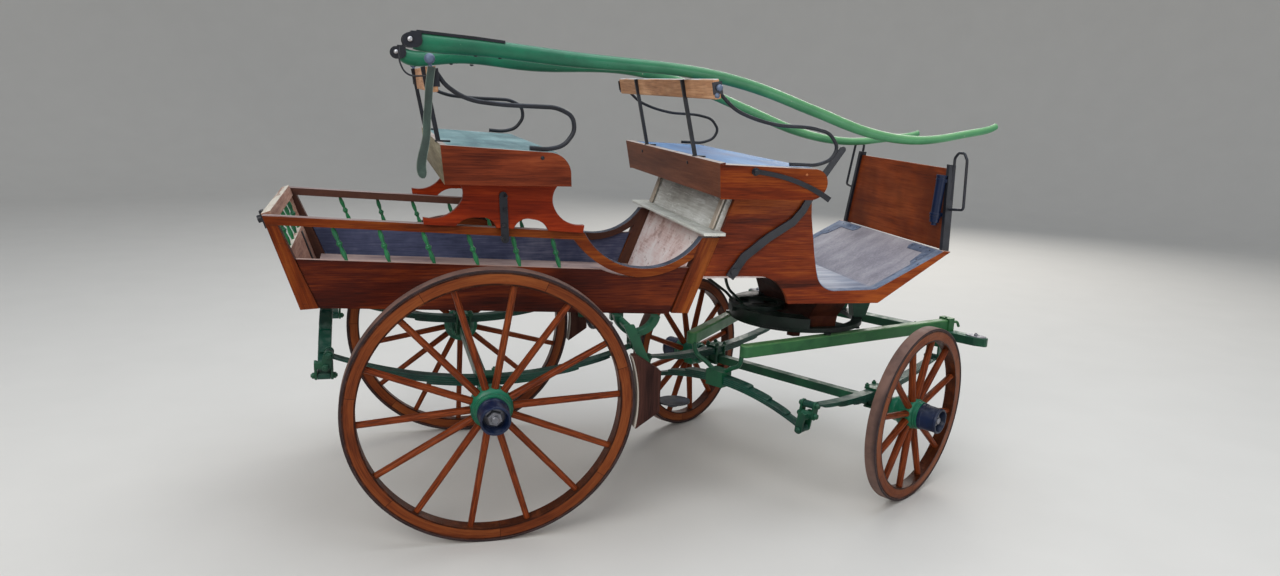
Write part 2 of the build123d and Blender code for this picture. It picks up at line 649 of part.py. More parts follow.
# Strap hinges inside the tailboard, and the latch on its top rail
with BuildPart() as tail_irons:
    for across in (-250, 250):
        with BuildSketch(tail.offset(-4)):
            with Locations((across, 84)):
                Rectangle(30, 160)
        extrude(amount=4)
    with BuildSketch(tail.offset(TAIL_T / 2 + TAIL_RAIL[2] / 2)):
        with Locations((330, TAIL_RAIL[0] + 18)):
            Rectangle(46, 60)
    extrude(amount=10)
    with BuildSketch(tail.offset(TAIL_T / 2 + TAIL_RAIL[2] / 2 + 10)):
        with Locations((330, TAIL_RAIL[0] + 22)):
            Circle(13)
    extrude(amount=14)
save(tail_irons.part, "tailboard_irons")

# ---------------------------------------------------------------------------
# Boot, footboard and dashboard
with BuildPart() as boot_side:
    with BuildSketch(seen_right(-BOOT_Y + BOOT_T)):
        with BuildLine():
            Polyline((797, 918), (850, 1062), (908, 1228), (1209, 1228), (1216, 1141), (1241, 990), (1256, 923))
            ThreePointArc((1256, 923), (1285, 872), (1345, 853))
            Polyline((1345, 853), (1517, 855), (1806, 1007), (1836, 1004), (1531, 801), (1145, 805))
            ThreePointArc((1145, 805), (1096, 885), (1011, 915))
            Line((1011, 915), (797, 918))
        make_face()
    extrude(amount=BOOT_T)
    add(rail_frame.part, mode=Mode.SUBTRACT)
boot_twin = save_pair(boot_side.part, "boot_side")

with BuildPart() as bulkhead:
    with BuildSketch(seen_right(-BOOT_Y + BOOT_T)):
        with BuildLine():
            Polyline((727, 792), (747, 792), (850, 1062), (908, 1228), (888, 1228), (830, 1062), close=True)
        make_face()
        with BuildLine():
            Polyline((780, BOOT_FLOOR), (1234, BOOT_FLOOR), (1232, BOOT_FLOOR + 18), (786, BOOT_FLOOR + 18), close=True)
        make_face()
    extrude(amount=-2 * (BOOT_Y - BOOT_T))
    add(rail_frame.part, mode=Mode.SUBTRACT)
    add(rail_twin, mode=Mode.SUBTRACT)
    add(body_floor.part, mode=Mode.SUBTRACT)
save(bulkhead.part, "boot_rear_panel")

LEDGE = (768.0, 852.0, 1077.0, 1088.0, 498.0)     # rear, front, underside, top, half width
with BuildPart() as ledge:
    with BuildSketch(seen_top(LEDGE[2])):
        with Locations(((LEDGE[0] + LEDGE[1]) / 2, 0)):
            Rectangle(LEDGE[1] - LEDGE[0], 2 * LEDGE[4])
    extrude(amount=LEDGE[3] - LEDGE[2])
    add(bulkhead.part, mode=Mode.SUBTRACT)
    add(boot_side.part, mode=Mode.SUBTRACT)
    add(boot_twin, mode=Mode.SUBTRACT)
    add(rail_frame.part, mode=Mode.SUBTRACT)
    add(rail_twin, mode=Mode.SUBTRACT)
save(ledge.part.solids().sort_by(SortBy.VOLUME)[-1], "ledge")

with BuildPart() as footboard:
    with BuildSketch(seen_right(-BOOT_Y + BOOT_T)):
        with BuildLine():
            Polyline((1209, 1210), (1216, 1141), (1241, 990), (1256, 923))
            ThreePointArc((1256, 923), (1285, 872), (1345, 853))
            Polyline((1345, 853), (1517, 855), (1806, 1007), (1816, 990), (1523, 837), (1345, 835))
            ThreePointArc((1345, 835), (1272, 860), (1238, 920))
            Polyline((1238, 920), (1223, 988), (1198, 1139), (1191, 1210), (1209, 1210))
        make_face()
    extrude(amount=-2 * (BOOT_Y - BOOT_T))
save(footboard.part, "footboard")

DASH_FOOT = (1821.0, 1006.0)
DASH_LEAN = degrees(atan2(23, 320))
DASH_H = 322.0
dash_plane = Plane(origin=spot(DASH_FOOT[0], 0, DASH_FOOT[1]), x_dir=(0, 1, 0), z_dir=(cos(radians(DASH_LEAN)), 0, -sin(radians(DASH_LEAN))))
with BuildPart() as dashboard:
    with BuildSketch(dash_plane):
        with BuildLine():
            Polyline((-415, 0), (415, 0), (366, DASH_H), (-366, DASH_H), close=True)
        make_face()
    extrude(amount=18)
    add(boot_side.part, mode=Mode.SUBTRACT)
    add(boot_twin, mode=Mode.SUBTRACT)
    add(footboard.part, mode=Mode.SUBTRACT)
save(dashboard.part.solids().sort_by(SortBy.VOLUME)[-1], "dashboard")

# Side irons round the dashboard's side edges, each with its rein loop
IRON_BACK = 12.0                         # how far the iron stands behind the board
DASH_LOOP = [(386, 200), (368, 366), (390, 388), (426, 388), (450, 364), (480, 172), (386, 162)]   # out from the middle, up the dash
with BuildPart() as dash_irons:
    for side in (-1, 1):
        with BuildSketch(dash_plane.offset(-IRON_BACK)):
            with BuildLine():
                Polyline((side * 401, -14), (side * 421, -14), (side * 370, 338), (side * 351, 338), close=True)
            make_face()
        extrude(amount=IRON_BACK + 18)
        loop = [dash_plane.offset(9).from_local_coords(Vector(side * a, b, 0)) for a, b in DASH_LOOP]
        with BuildLine():
            path = FilletPolyline(*loop, radius=[20, 20, 20, 22, 12])
        with BuildSketch(Plane(origin=path @ 0, z_dir=path % 0)):
            Circle(5.5)
        sweep(path=path)
    add(dashboard.part, mode=Mode.SUBTRACT)
    add(boot_side.part, mode=Mode.SUBTRACT)
    add(boot_twin, mode=Mode.SUBTRACT)
    add(footboard.part, mode=Mode.SUBTRACT)
save(dash_irons.part, "dash_irons")

# Whip socket behind the right side iron, parallel to the board's side edge
WHIP_OUT = 19.0
WHIP_BORE = 14.0
WHIP_OFF = 33.0                          # axis behind the board
WHIP_LOW, WHIP_HIGH = (-362.0, 104.0), (-362.0, 294.0)   # foot and mouth: across, up the dash
WHIP_LONG = 190.0
WHIP_DEEP = 160.0
whip_foot = dash_plane.offset(-WHIP_OFF).from_local_coords(Vector(*WHIP_LOW, 0))
whip_mouth = dash_plane.offset(-WHIP_OFF).from_local_coords(Vector(*WHIP_HIGH, 0))
whip_plane = Plane(origin=whip_foot, x_dir=dash_plane.z_dir, z_dir=whip_mouth - whip_foot)
with BuildPart() as whip_socket:
    with BuildSketch(whip_plane):
        Circle(WHIP_OUT)
    extrude(amount=WHIP_LONG)
    for up, wide in ((18.0, 2.5), (30.0, 4.0), (WHIP_LONG - 22.0, 2.0), (WHIP_LONG - 8.0, 2.0)):
        with BuildSketch(whip_plane.offset(up)):
            Circle(WHIP_OUT + wide)
        extrude(amount=8)
    for up in (26.0, WHIP_LONG - 28.0):
        with BuildSketch(whip_plane.offset(up)):
            with Locations((WHIP_OFF / 2, 0)):
                Rectangle(WHIP_OFF, 26)
        extrude(amount=14)
    with BuildSketch(whip_plane.offset(-12)):
        Circle(11)
    extrude(amount=12)
    with BuildSketch(whip_plane.offset(WHIP_LONG)):
        Circle(WHIP_BORE)
    extrude(amount=-WHIP_DEEP, mode=Mode.SUBTRACT)
    add(dashboard.part, mode=Mode.SUBTRACT)
    add(dash_irons.part, mode=Mode.SUBTRACT)
save(whip_socket.part, "whip_socket")

# ---------------------------------------------------------------------------
# Driver's seat: two leaning sides, rear and front boards, flush top, back board and irons
SEAT_LOW = 1228.0
FSEAT_LEAN = degrees(atan2(23, 122))
FSEAT_FOOT_Y = FSEAT_Y - 23.0
BACK_T = 22.0
with BuildPart() as fseat_side:
    with BuildSketch(leaning(-FSEAT_FOOT_Y + 20, SEAT_LOW, FSEAT_LEAN)):
        with BuildLine():
            Line((764, FSEAT_Z - SEAT_LOW + 2), (782, 0))
            Line((782, 0), (1124, 0))
            corner = ThreePointArc((1124, 0), (1180, 58), (1118, 114))
            Line((1118, 114), (764, FSEAT_Z - SEAT_LOW + 2))
        make_face()
    extrude(amount=20)
fseat_twin = mirror(fseat_side.part, about=middle())
with BuildPart() as front_seat:
    add(fseat_side.part)
    add(fseat_twin)
    # rear board, as wide as the sides stand apart
    with BuildSketch(Plane(origin=spot(782, 0, SEAT_LOW), x_dir=(0, 1, 0), z_dir=way(122, 0, 18))):
        with BuildLine():
            Polyline((-FSEAT_FOOT_Y, 0), (FSEAT_FOOT_Y, 0), (FSEAT_Y, 123.3), (-FSEAT_Y, 123.3), close=True)
        make_face()
    extrude(amount=20)
    with BuildSketch(seen_front(1096)):
        with BuildLine():
            Polyline((-FSEAT_FOOT_Y + 10, SEAT_LOW), (FSEAT_FOOT_Y - 10, SEAT_LOW), (FSEAT_Y - 16, 1320), (-FSEAT_Y + 16, 1320), close=True)
        make_face()
    extrude(amount=20)
save(front_seat.part, "front_seat")

with BuildPart() as fseat_top:
    with BuildSketch(seen_right(-FSEAT_Y + 16)):
        with BuildLine():
            Polyline((787, FSEAT_Z - 1.5), (790, FSEAT_Z - 20), (1120, 1320), (1120, 1340), close=True)
        make_face()
    extrude(amount=-2 * (FSEAT_Y - 16))
    add(front_seat.part, mode=Mode.SUBTRACT)
save(fseat_top.part.solids().sort_by(SortBy.VOLUME)[-1], "front_seat_top")

# Back boards.  Each leans back; its uprights stand on the seat's rear edge, up its rear face
Back = namedtuple("Back", "name seat x z height half lean upright foot_x foot_z rod")
BACKS = [
    Back("front_seat", "front", 737.0, 1597.0, 67.0, 631.0, 10.9, 318.0, 779.0, FSEAT_Z, 6.5),
    Back("rear_seat", "rear", -190.0, 1591.0, 82.0, 575.0, 7.0, 385.0, -163.0, RSEAT_Z, 7.5),
]
backs = {}
for b in BACKS:
    with BuildPart() as board:
        with BuildSketch(seen_right(-b.half)):
            with Locations(Location((b.x, b.z), b.lean)):
                Rectangle(BACK_T, b.height)
        extrude(amount=-2 * b.half)
    backs[b.name] = board.part
    save(board.part, b.name + "_back")

with BuildPart() as rseat_side:
    with BuildSketch(seen_right(-RSEAT_Y + 20)):
        with BuildLine():
            Polyline((-170, RSEAT_Z), (-156, 1258), (261, 1258), (259, 1294))
            ThreePointArc((259, 1294), (240, 1345), (190, 1369))
            Line((190, 1369), (-170, RSEAT_Z))
        make_face()
    extrude(amount=20)
rseat_twin = mirror(rseat_side.part, about=middle())
with BuildPart() as rear_seat:
    add(rseat_side.part)
    add(rseat_twin)
    with BuildSketch(seen_right(-RSEAT_Y)):
        with BuildLine():
            Polyline((-170, RSEAT_Z), (-156, 1258), (-136, 1258), (-150, RSEAT_Z - 1), close=True)
        make_face()
        with BuildLine():
            Polyline((196, 1258), (216, 1258), (216, 1348), (196, 1349), close=True)
        make_face()
        with BuildLine():
            Polyline((-138, 1258), (198, 1258), (198, 1276), (-140, 1276), close=True)
        make_face()
    extrude(amount=-2 * RSEAT_Y)
save(rear_seat.part, "rear_seat")

with BuildPart() as rseat_top:
    with BuildSketch(seen_right(-RSEAT_Y + 20)):
        with BuildLine():
            Polyline((-150, RSEAT_Z - 1), (-149, RSEAT_Z - 20), (216, 1349), (216, 1368), close=True)
        make_face()
    extrude(amount=-2 * (RSEAT_Y - 20))
    add(rear_seat.part, mode=Mode.SUBTRACT)
save(rseat_top.part.solids().sort_by(SortBy.VOLUME)[-1], "rear_seat_top")

# Arm rails, right hand side: bent rods from the back board's end down to the seat's side
RAILS = {
    "front_seat": [(749, -612, 1590), (812, -612, 1530), (890, -612, 1501), (974, -612, 1483), (1099, -612, 1480), (1176, -612, 1463), (1211, -612, 1413), (1190, -612, 1370), (1135, -612, 1349), (1030, -612, 1351)],
    "rear_seat": [(-181, -560, 1612), (-152, -560, 1572), (-104, -560, 1541), (-55, -560, 1526), (35, -560, 1518), (208, -560, 1516), (262, -560, 1490), (270, -560, 1440), (236, -560, 1392), (180, -560, 1378), (120, -560, 1382)],
}
seat_shapes = {"front_seat": [front_seat.part, fseat_top.part], "rear_seat": [rear_seat.part, rseat_top.part]}
seat_irons = {}
for b in BACKS:
    with BuildPart() as arm:
        with BuildLine():
            path = FilletPolyline(*[spot(*p) for p in RAILS[b.name]], radius=bends(RAILS[b.name]))
        with BuildSketch(Plane(origin=path @ 0, z_dir=path % 0)):
            Circle(b.rod)
        sweep(path=path)
        # cap on the end of the back board
        with BuildSketch(seen_right(-b.half)):
            with Locations(Location((b.x, b.z + 4), b.lean)):
                Rectangle(BACK_T + 12, b.height - 26)
        extrude(amount=5)
        with BuildSketch(seen_right(-b.half + 42)):
            with Locations(Location((b.x + BACK_T / 2 + 3, b.z + 4), b.lean)):
                Rectangle(6, b.height - 26)
        extrude(amount=47)
        for piece in [backs[b.name]] + seat_shapes[b.name]:
            add(piece, mode=Mode.SUBTRACT)
    arm_twin = mirror(arm.part, about=middle())
    a = radians(b.lean)
    top_x = b.x - (BACK_T / 2 + b.rod) * cos(a) - (b.height / 2) * sin(a)
    top_z = b.z - (BACK_T / 2 + b.rod) * sin(a) + (b.height / 2) * cos(a)
    with BuildPart() as irons:
        add(arm.part)
        add(arm_twin)
        for side in (-1, 1):
            foot, top = Vector(*spot(b.foot_x, side * (b.upright + 6), b.foot_z - 4)), Vector(*spot(top_x, side * b.upright, top_z))
            with BuildSketch(Plane(origin=foot, x_dir=(0, 1, 0), z_dir=top - foot)):
                Rectangle(2 * b.rod, 2 * b.rod)
            extrude(amount=(top - foot).length)
            with BuildSketch(seen_top(b.foot_z - 2)):
                with Locations((b.foot_x + 14, side * (b.upright + 6))):
                    SlotOverall(52, 26)
            extrude(amount=6)
        for piece in [backs[b.name]] + seat_shapes[b.name]:
            add(piece, mode=Mode.SUBTRACT)
    seat_irons[b.name] = irons.part

# Rear seat's trestles, with the straps that hold them down on the rails
TRESTLE_Y = 432.0
TRESTLE_T = 30.0
with BuildPart() as trestle:
    with BuildSketch(seen_right(-TRESTLE_Y)):
        with BuildLine():
            Line((-106, 1258), (246, 1258))
            ThreePointArc((246, 1258), (222, 1222), (221, 1184))
            ThreePointArc((221, 1184), (256, 1132), (334, 1110))
            Polyline((334, 1110), (330, 1084), (208, 1091))
            ThreePointArc((208, 1091), (184, 1120), (150, 1131))
            ThreePointArc((150, 1131), (108, 1126), (86, 1098))
            Line((86, 1098), (27, 1101))
            ThreePointArc((27, 1101), (4, 1130), (-34, 1136))
            ThreePointArc((-34, 1136), (-80, 1130), (-112, 1106))
            Polyline((-112, 1106), (-216, 1112), (-219, 1135))
            ThreePointArc((-219, 1135), (-136, 1146), (-92, 1192))
            ThreePointArc((-92, 1192), (-88, 1230), (-106, 1258))
        make_face()
    extrude(amount=TRESTLE_T)
    add(rail_frame.part, mode=Mode.SUBTRACT)
    add(rear_seat.part, mode=Mode.SUBTRACT)
trestle_body = trestle.part.solids().sort_by(SortBy.VOLUME)[-1]
save_both(trestle_body, "trestles")

with BuildPart() as strap:
    with BuildSketch(seen_right(-TRESTLE_Y - TRESTLE_T)):
        with Locations(Location((52, 1137), 93.3)):
            SlotOverall(178, 27)
    extrude(amount=5)
strap_twin = mirror(strap.part, about=middle())
save(seat_irons["front_seat"], "front_seat_irons")
save(Compound(children=[*seat_irons["rear_seat"].solids(), strap.part.solid(), strap_twin.solid()]), "rear_seat_irons")

# Curved flat iron bolted outside the driver's seat
with BuildPart() as quadrant:
    with BuildSketch(leaning(-FSEAT_FOOT_Y + 20, SEAT_LOW, FSEAT_LEAN).offset(20)):
        with BuildLine():
            outer = ThreePointArc((892, 110), (1056, 78), (1200, 12))
            Line((1200, 12), (1190, -6))
            inner = ThreePointArc((1190, -6), (1050, 62), (892, 94))
            Line((892, 94), (892, 110))
        make_face()
        with Locations((897, 102)):
            Circle(14)
    extrude(amount=7)
    with BuildSketch(leaning(-FSEAT_FOOT_Y + 20, SEAT_LOW, FSEAT_LEAN).offset(20)):
        with Locations((897, 102)):
            Circle(9)
    extrude(amount=18)

# ---------------------------------------------------------------------------
# Shafts, stowed on the seat backs.  Each tapers towards its tip
Section = namedtuple("Section", "x z across tall")            # half sizes of the oval
SHAFT = [
    Section(-244, 1712, 22, 29), Section(-40, 1700, 22, 29), Section(188, 1684, 21.5, 27.5), Section(460, 1670, 21, 24), Section(735, 1655, 20, 22),
    Section(880, 1633, 20, 22), Section(1018, 1600, 19.5, 21.5), Section(1210, 1538, 19, 21), Section(1400, 1475, 18.5, 20), Section(1515, 1445, 18, 19), Section(1628, 1428, 17.5, 18),
    Section(1720, 1424, 17, 17), Section(1807, 1430, 16.5, 16), Section(1940, 1452, 15.5, 15), Section(2080, 1485, 14, 13),
]
Place = namedtuple("Place", "name rear_y tip_y drop_rear drop_tip slide up")     # slide: how far forward it lies
SHAFTS = [Place("shaft_right", -405, -295, 0, -12, 0, 0), Place("shaft_left", 330, 240, 28, 49, -23, 5)]
REST = 4                                 # the section over the driver's back board
shaft_parts = {}
for pl in SHAFTS:
    run = []
    for i, s in enumerate(SHAFT):
        y = pl.rear_y + (pl.tip_y - pl.rear_y) * (s.x - SHAFT[0].x) / (SHAFT[-1].x - SHAFT[0].x)
        away = (s.x - SHAFT[REST].x) / (SHAFT[-1].x - SHAFT[REST].x) if i > REST else (SHAFT[REST].x - s.x) / (SHAFT[REST].x - SHAFT[0].x)
        drop = (pl.drop_tip if i > REST else pl.drop_rear) * away
        run.append(Vector(*spot(s.x + pl.slide, y, s.z + pl.up - drop)))
    with BuildPart() as shaft:
        for i, s in enumerate(SHAFT):
            ahead = run[min(i + 1, len(run) - 1)] - run[max(i - 1, 0)]
            with BuildSketch(Plane(origin=run[i], x_dir=Vector(0, 0, 1).cross(ahead), z_dir=ahead)):
                Ellipse(s.across, s.tall)
        loft()
    shaft_parts[pl.name] = shaft.part
    save(shaft.part, pl.name)

# Jaws, plates and loops on the rear ends of the shafts
with BuildPart() as shaft_irons:
    for pl in SHAFTS:
        lead = Vector(2324, pl.tip_y - pl.rear_y, 0).normalized()
        end = Vector(*spot(-244 + pl.slide, pl.rear_y, 1712 + pl.up - pl.drop_rear))
        side = Plane(origin=end, x_dir=lead, z_dir=Vector(lead.Y, -lead.X, 0))
        lift = pl.drop_rear * 0.25
        # side plates, bolt, and the long plate on top
        for off in (-28, 22):
            with BuildSketch(side.offset(off)):
                with Locations((-5, 0)):
                    SlotOverall(64, 48)
            extrude(amount=6)
        with BuildSketch(side.offset(-34)):
            with Locations((-13, 2)):
                Circle(9)
        extrude(amount=68)
        with BuildSketch(side.offset(-17)):
            with BuildLine():
                Polyline((10, 24), (10, 33), (204, 22 + lift), (300, 14 + lift), (300, 5 + lift), (204, 12), close=True)
            make_face()
        extrude(amount=34)
        with BuildSketch(side.offset(-28)):
            with Locations((8, 22)):
                Rectangle(34, 14)
        extrude(amount=56)
    for pl in SHAFTS:
        add(shaft_parts[pl.name], mode=Mode.SUBTRACT)
save(shaft_irons.part, "shaft_irons")

# ---------------------------------------------------------------------------
# Rear running gear: brackets under the body, shackles, brake and steps
REAR_EYE = (530.0, 673.0)                # front eye of the rear side spring, X and Z
with BuildPart() as bracket:
    with BuildSketch(seen_right(-477)):
        with BuildLine():
            Line((452, 783.5), (474, 783))
            ThreePointArc((474, 783), (535, 726), (600, 777.5))
            Line((600, 777.5), (624, 777))
            ThreePointArc((624, 777), (536, 706), (452, 783.5))
        make_face()
    extrude(amount=-44)
    with BuildSketch(seen_right(-485.5)):
        with BuildLine():
            Polyline((514, 692), (548, 692), (552, 716), (510, 716), close=True)
        make_face()
    extrude(amount=-61)
    for y in (-424.5, -477.5):
        with BuildSketch(seen_right(y)):
            with Locations(Location((REAR_EYE[0] + 1, (REAR_EYE[1] + 700) / 2), 90)):
                SlotCenterToCenter(700 - REAR_EYE[1], 34)
        extrude(amount=8)
    with BuildSketch(seen_right(-418)):
        with Locations(REAR_EYE):
            Circle(9)
    extrude(amount=74)
    add(springs["rear_spring"], mode=Mode.SUBTRACT)
    add(rail_frame.part, mode=Mode.SUBTRACT)
    add(side_panel.part, mode=Mode.SUBTRACT)
    add(body_floor.part, mode=Mode.SUBTRACT)
bracket_twin = save_both(bracket.part.solids().sort_by(SortBy.VOLUME)[-1], "spring_brackets")

CROSS_LEVEL = level(BOTTOM, -548)
with BuildPart() as shackle:
    add(shackle_parts[0])
    add(springs["rear_spring"], mode=Mode.SUBTRACT)
    add(springs["rear_cross_spring"], mode=Mode.SUBTRACT)
shackle_twin = mirror(shackle.part, about=middle())
with BuildPart() as shackles:
    add(shackle.part)
    add(shackle_twin)
    # block between the cross spring and the body
    with BuildSketch(seen_top(748)):
        with Locations((-548, 0)):
            Rectangle(62, 96)
    extrude(amount=CROSS_LEVEL + FLOOR_UP + 1.5 - 748)
    add(springs["rear_cross_spring"], mode=Mode.SUBTRACT)
    add(body_floor.part, mode=Mode.SUBTRACT)
save(shackles.part, "rear_shackles")

BRAKE_R = REAR_R + 15.0
BLOCK_Y = (580.0, 622.0)
BRAKE_SHAFT = (478.0, 766.0)
BRAKE_TOP, BRAKE_LOW = 674.0, 404.0
WHEEL_Z = 502.0
with BuildPart() as block:
    with BuildSketch(seen_right(-BLOCK_Y[0])):
        top_x = sqrt(BRAKE_R ** 2 - (BRAKE_TOP - WHEEL_Z) ** 2)
        low_x = sqrt(BRAKE_R ** 2 - (BRAKE_LOW - WHEEL_Z) ** 2)
        with BuildLine():
            Polyline((low_x, BRAKE_LOW), (592, 464), (592, 615), (top_x + 18, BRAKE_TOP), (top_x, BRAKE_TOP))
            ThreePointArc((top_x, BRAKE_TOP), (sqrt(BRAKE_R ** 2 - 36 ** 2), WHEEL_Z + 36), (low_x, BRAKE_LOW))
        make_face()
    extrude(amount=BLOCK_Y[1] - BLOCK_Y[0])
block_twin = mirror(block.part, about=middle())
with BuildPart() as blocks:
    add(block.part)
    add(block_twin)
save(blocks.part, "brake_blocks")

with BuildPart() as brake_shaft:
    with BuildSketch(seen_right(BLOCK_Y[0])):
        with Locations(BRAKE_SHAFT):
            Circle(13)
    extrude(amount=2 * BLOCK_Y[0])
    for side in (-1, 1):
        with BuildSketch(seen_right(side * (BLOCK_Y[0] - 5) + 5)):
            with BuildLine():
                Polyline((458, 776), (498, 776), (584, 590), (584, 520), (548, 520), (542, 600), close=True)
            make_face()
        extrude(amount=10)
        # bearing under the body
        with BuildSketch(seen_right(side * 400 + 14)):
            with Locations((478, 782)):
                Rectangle(46, 60)
        extrude(amount=28)
    add(block.part, mode=Mode.SUBTRACT)
    add(block_twin, mode=Mode.SUBTRACT)
    add(body_floor.part, mode=Mode.SUBTRACT)
    add(side_panel.part, mode=Mode.SUBTRACT)
    add(panel_twin, mode=Mode.SUBTRACT)
    add(bracket.part, mode=Mode.SUBTRACT)
    add(bracket_twin, mode=Mode.SUBTRACT)
save(brake_shaft.part, "brake_shaft")

STEP_IRON = [(552, -455, 708), (558, -455, 640), (562, -458, 556), (592, -500, 484), (650, -566, 476)]
STEP_Z = 484.0
with BuildPart() as step:
    with BuildSketch(seen_top(STEP_Z)):
        with Locations((658, -576)):
            Ellipse(60, 52)
    extrude(amount=6)
    with BuildSketch(seen_top(STEP_Z - 16)):
        with Locations((656, -572)):
            Circle(20)
    extrude(amount=18)
    with BuildLine():
        path = FilletPolyline(*[spot(*p) for p in STEP_IRON], radius=bends(STEP_IRON))
    with BuildSketch(Plane(origin=path @ 0, z_dir=path % 0)):
        Circle(9)
    sweep(path=path)
    add(springs["rear_spring"], mode=Mode.SUBTRACT)
    add(body_floor.part, mode=Mode.SUBTRACT)
    add(side_panel.part, mode=Mode.SUBTRACT)
    add(rail_frame.part, mode=Mode.SUBTRACT)
    add(bracket.part, mode=Mode.SUBTRACT)
save_both(step.part, "steps")

# Hand lever of the brake: one bent flat bar outside the boot's right side
LEVER = [(895, 914), (948, 991), (1039, 1063), (1135, 1123), (1172, 1166), (1196, 1210), (1218, 1242), (1250, 1302), (1316, 1397)]
LEVER_W = 34.0
sides = []
for i, p in enumerate(LEVER):
    before, after = LEVER[max(i - 1, 0)], LEVER[min(i + 1, len(LEVER) - 1)]
    dx, dy = after[0] - before[0], after[1] - before[1]
    half = LEVER_W / 2 * (1.0 - 0.35 * i / (len(LEVER) - 1)) / hypot(dx, dy)
    sides.append(((p[0] - dy * half, p[1] + dx * half), (p[0] + dy * half, p[1] - dx * half)))
with BuildPart() as lever:
    with BuildSketch(seen_right(-BOOT_Y - 4)):
        with BuildLine():
            Polyline(*[a for a, b in sides], *[b for a, b in reversed(sides)], close=True)
        make_face()
        with Locations(LEVER[-1]):
            Circle(11)
    extrude(amount=10)
    with BuildSketch(seen_right(-BOOT_Y)):
        with Locations((912, 934)):
            Circle(15)
    extrude(amount=20)
save(Compound(children=[lever.part.solid(), quadrant.part.solid()]), "brake_lever")
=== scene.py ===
import bpy
import bmesh
import math
import random
from mathutils import Matrix, Vector


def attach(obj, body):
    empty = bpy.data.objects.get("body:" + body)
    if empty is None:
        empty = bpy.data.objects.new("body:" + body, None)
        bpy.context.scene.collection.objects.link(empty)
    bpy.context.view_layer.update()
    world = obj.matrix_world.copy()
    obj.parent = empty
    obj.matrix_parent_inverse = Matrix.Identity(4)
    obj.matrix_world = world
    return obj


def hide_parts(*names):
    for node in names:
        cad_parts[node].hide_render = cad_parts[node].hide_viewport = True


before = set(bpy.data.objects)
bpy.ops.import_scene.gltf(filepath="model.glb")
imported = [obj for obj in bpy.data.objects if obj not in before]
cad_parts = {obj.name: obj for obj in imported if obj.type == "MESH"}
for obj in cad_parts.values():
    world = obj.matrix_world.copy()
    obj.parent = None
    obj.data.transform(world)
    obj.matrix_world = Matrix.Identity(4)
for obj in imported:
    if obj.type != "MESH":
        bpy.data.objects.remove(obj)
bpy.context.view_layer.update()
random.seed(11)

# ---------------------------------------------------------------------------
# The carriage's own centreline frame, in millimetres, as the CAD source has it
X_MID, Y_MID = 730.7, 63.0
KING_X, TURN = 1390.0, math.radians(31.6)


def body(x, y, z):
    return Vector(((x - X_MID) / 1000, (y - Y_MID) / 1000, z / 1000))


def fore(x, y, z):
    c, s = math.cos(TURN), math.sin(TURN)
    return body(KING_X + x * c - y * s, x * s + y * c, z)


def body_way(x, y, z):
    return Vector((x, y, z)).normalized()


def fore_way(x, y, z):
    c, s = math.cos(TURN), math.sin(TURN)
    return Vector((x * c - y * s, x * s + y * c, z)).normalized()


def srgb(r, g, b, a=1.0):
    def lin(v):
        v /= 255
        return v / 12.92 if v <= 0.04045 else ((v + 0.055) / 1.055) ** 2.4
    return (lin(r), lin(g), lin(b), a)


def fall(line, x):
    return line[0] + line[1] * x


PANEL_TOP, RAIL_TOP, RAIL_BOT, BOTTOM = (965.0, -0.0441), (1100.0, -0.0507), (1072.0, -0.0500), (802.5, -0.0403)

# ---------------------------------------------------------------------------
# Camera, floor and light
YAW, PITCH, ROLL = math.radians(16.137), math.radians(-11.884), math.radians(2.454)
ahead = Vector((math.sin(YAW) * math.cos(PITCH), math.cos(YAW) * math.cos(PITCH), math.sin(PITCH)))
right = Vector((math.cos(YAW), -math.sin(YAW), 0))
up = right.cross(ahead)
right, up = right * math.cos(ROLL) + up * math.sin(ROLL), up * math.cos(ROLL) - right * math.sin(ROLL)
cam_data = bpy.data.cameras.new("camera")
cam_data.sensor_width, cam_data.lens = 36.0, 26.58
cam_data.sensor_fit = "HORIZONTAL"
cam_data.clip_start, cam_data.clip_end = 0.05, 200
cam = bpy.data.objects.new("camera", cam_data)
bpy.context.scene.collection.objects.link(cam)
turn = Matrix((right, up, -ahead)).transposed().to_4x4()
cam.matrix_world = Matrix.Translation((-1.1147, -3.741, 1.587)) @ turn
bpy.context.scene.camera = cam

world = bpy.data.worlds.new("studio")
bpy.context.scene.world = world
world.use_nodes = True
world.node_tree.nodes["Background"].inputs[0].default_value = (0.86, 0.92, 1.0, 1)
world.node_tree.nodes["Background"].inputs[1].default_value = 0.30
view = bpy.context.scene.view_settings
view.view_transform = "Standard"
view.look = "None"
view.exposure = 0.0


def light(name, at, to, size, power, colour=(1, 1, 1)):
    data = bpy.data.lights.new(name, "AREA")
    data.shape, data.size, data.energy, data.color = "SQUARE", size, power, colour
    o = bpy.data.objects.new(name, data)
    bpy.context.scene.collection.objects.link(o)
    o.location = at
    o.rotation_mode = "QUATERNION"
    o.rotation_quaternion = (Vector(to) - Vector(at)).to_track_quat("-Z", "Y")
    o.visible_camera = False
    return o


light("key", (-4.2, -5.6, 5.2), (0, 0, 0.7), 5.0, 330, (1.0, 0.98, 0.95))
light("sky", (0.4, 0.3, 6.6), (0.2, 0, 0), 6.5, 270, (0.90, 0.95, 1.0))
light("back", (4.5, 6.0, 4.2), (0.2, 0, 0.8), 4.0, 200, (1.0, 0.96, 0.90))
light("low", (3.2, -5.8, 1.6), (0.3, 0, 0.7), 3.2, 70, (0.95, 0.97, 1.0))


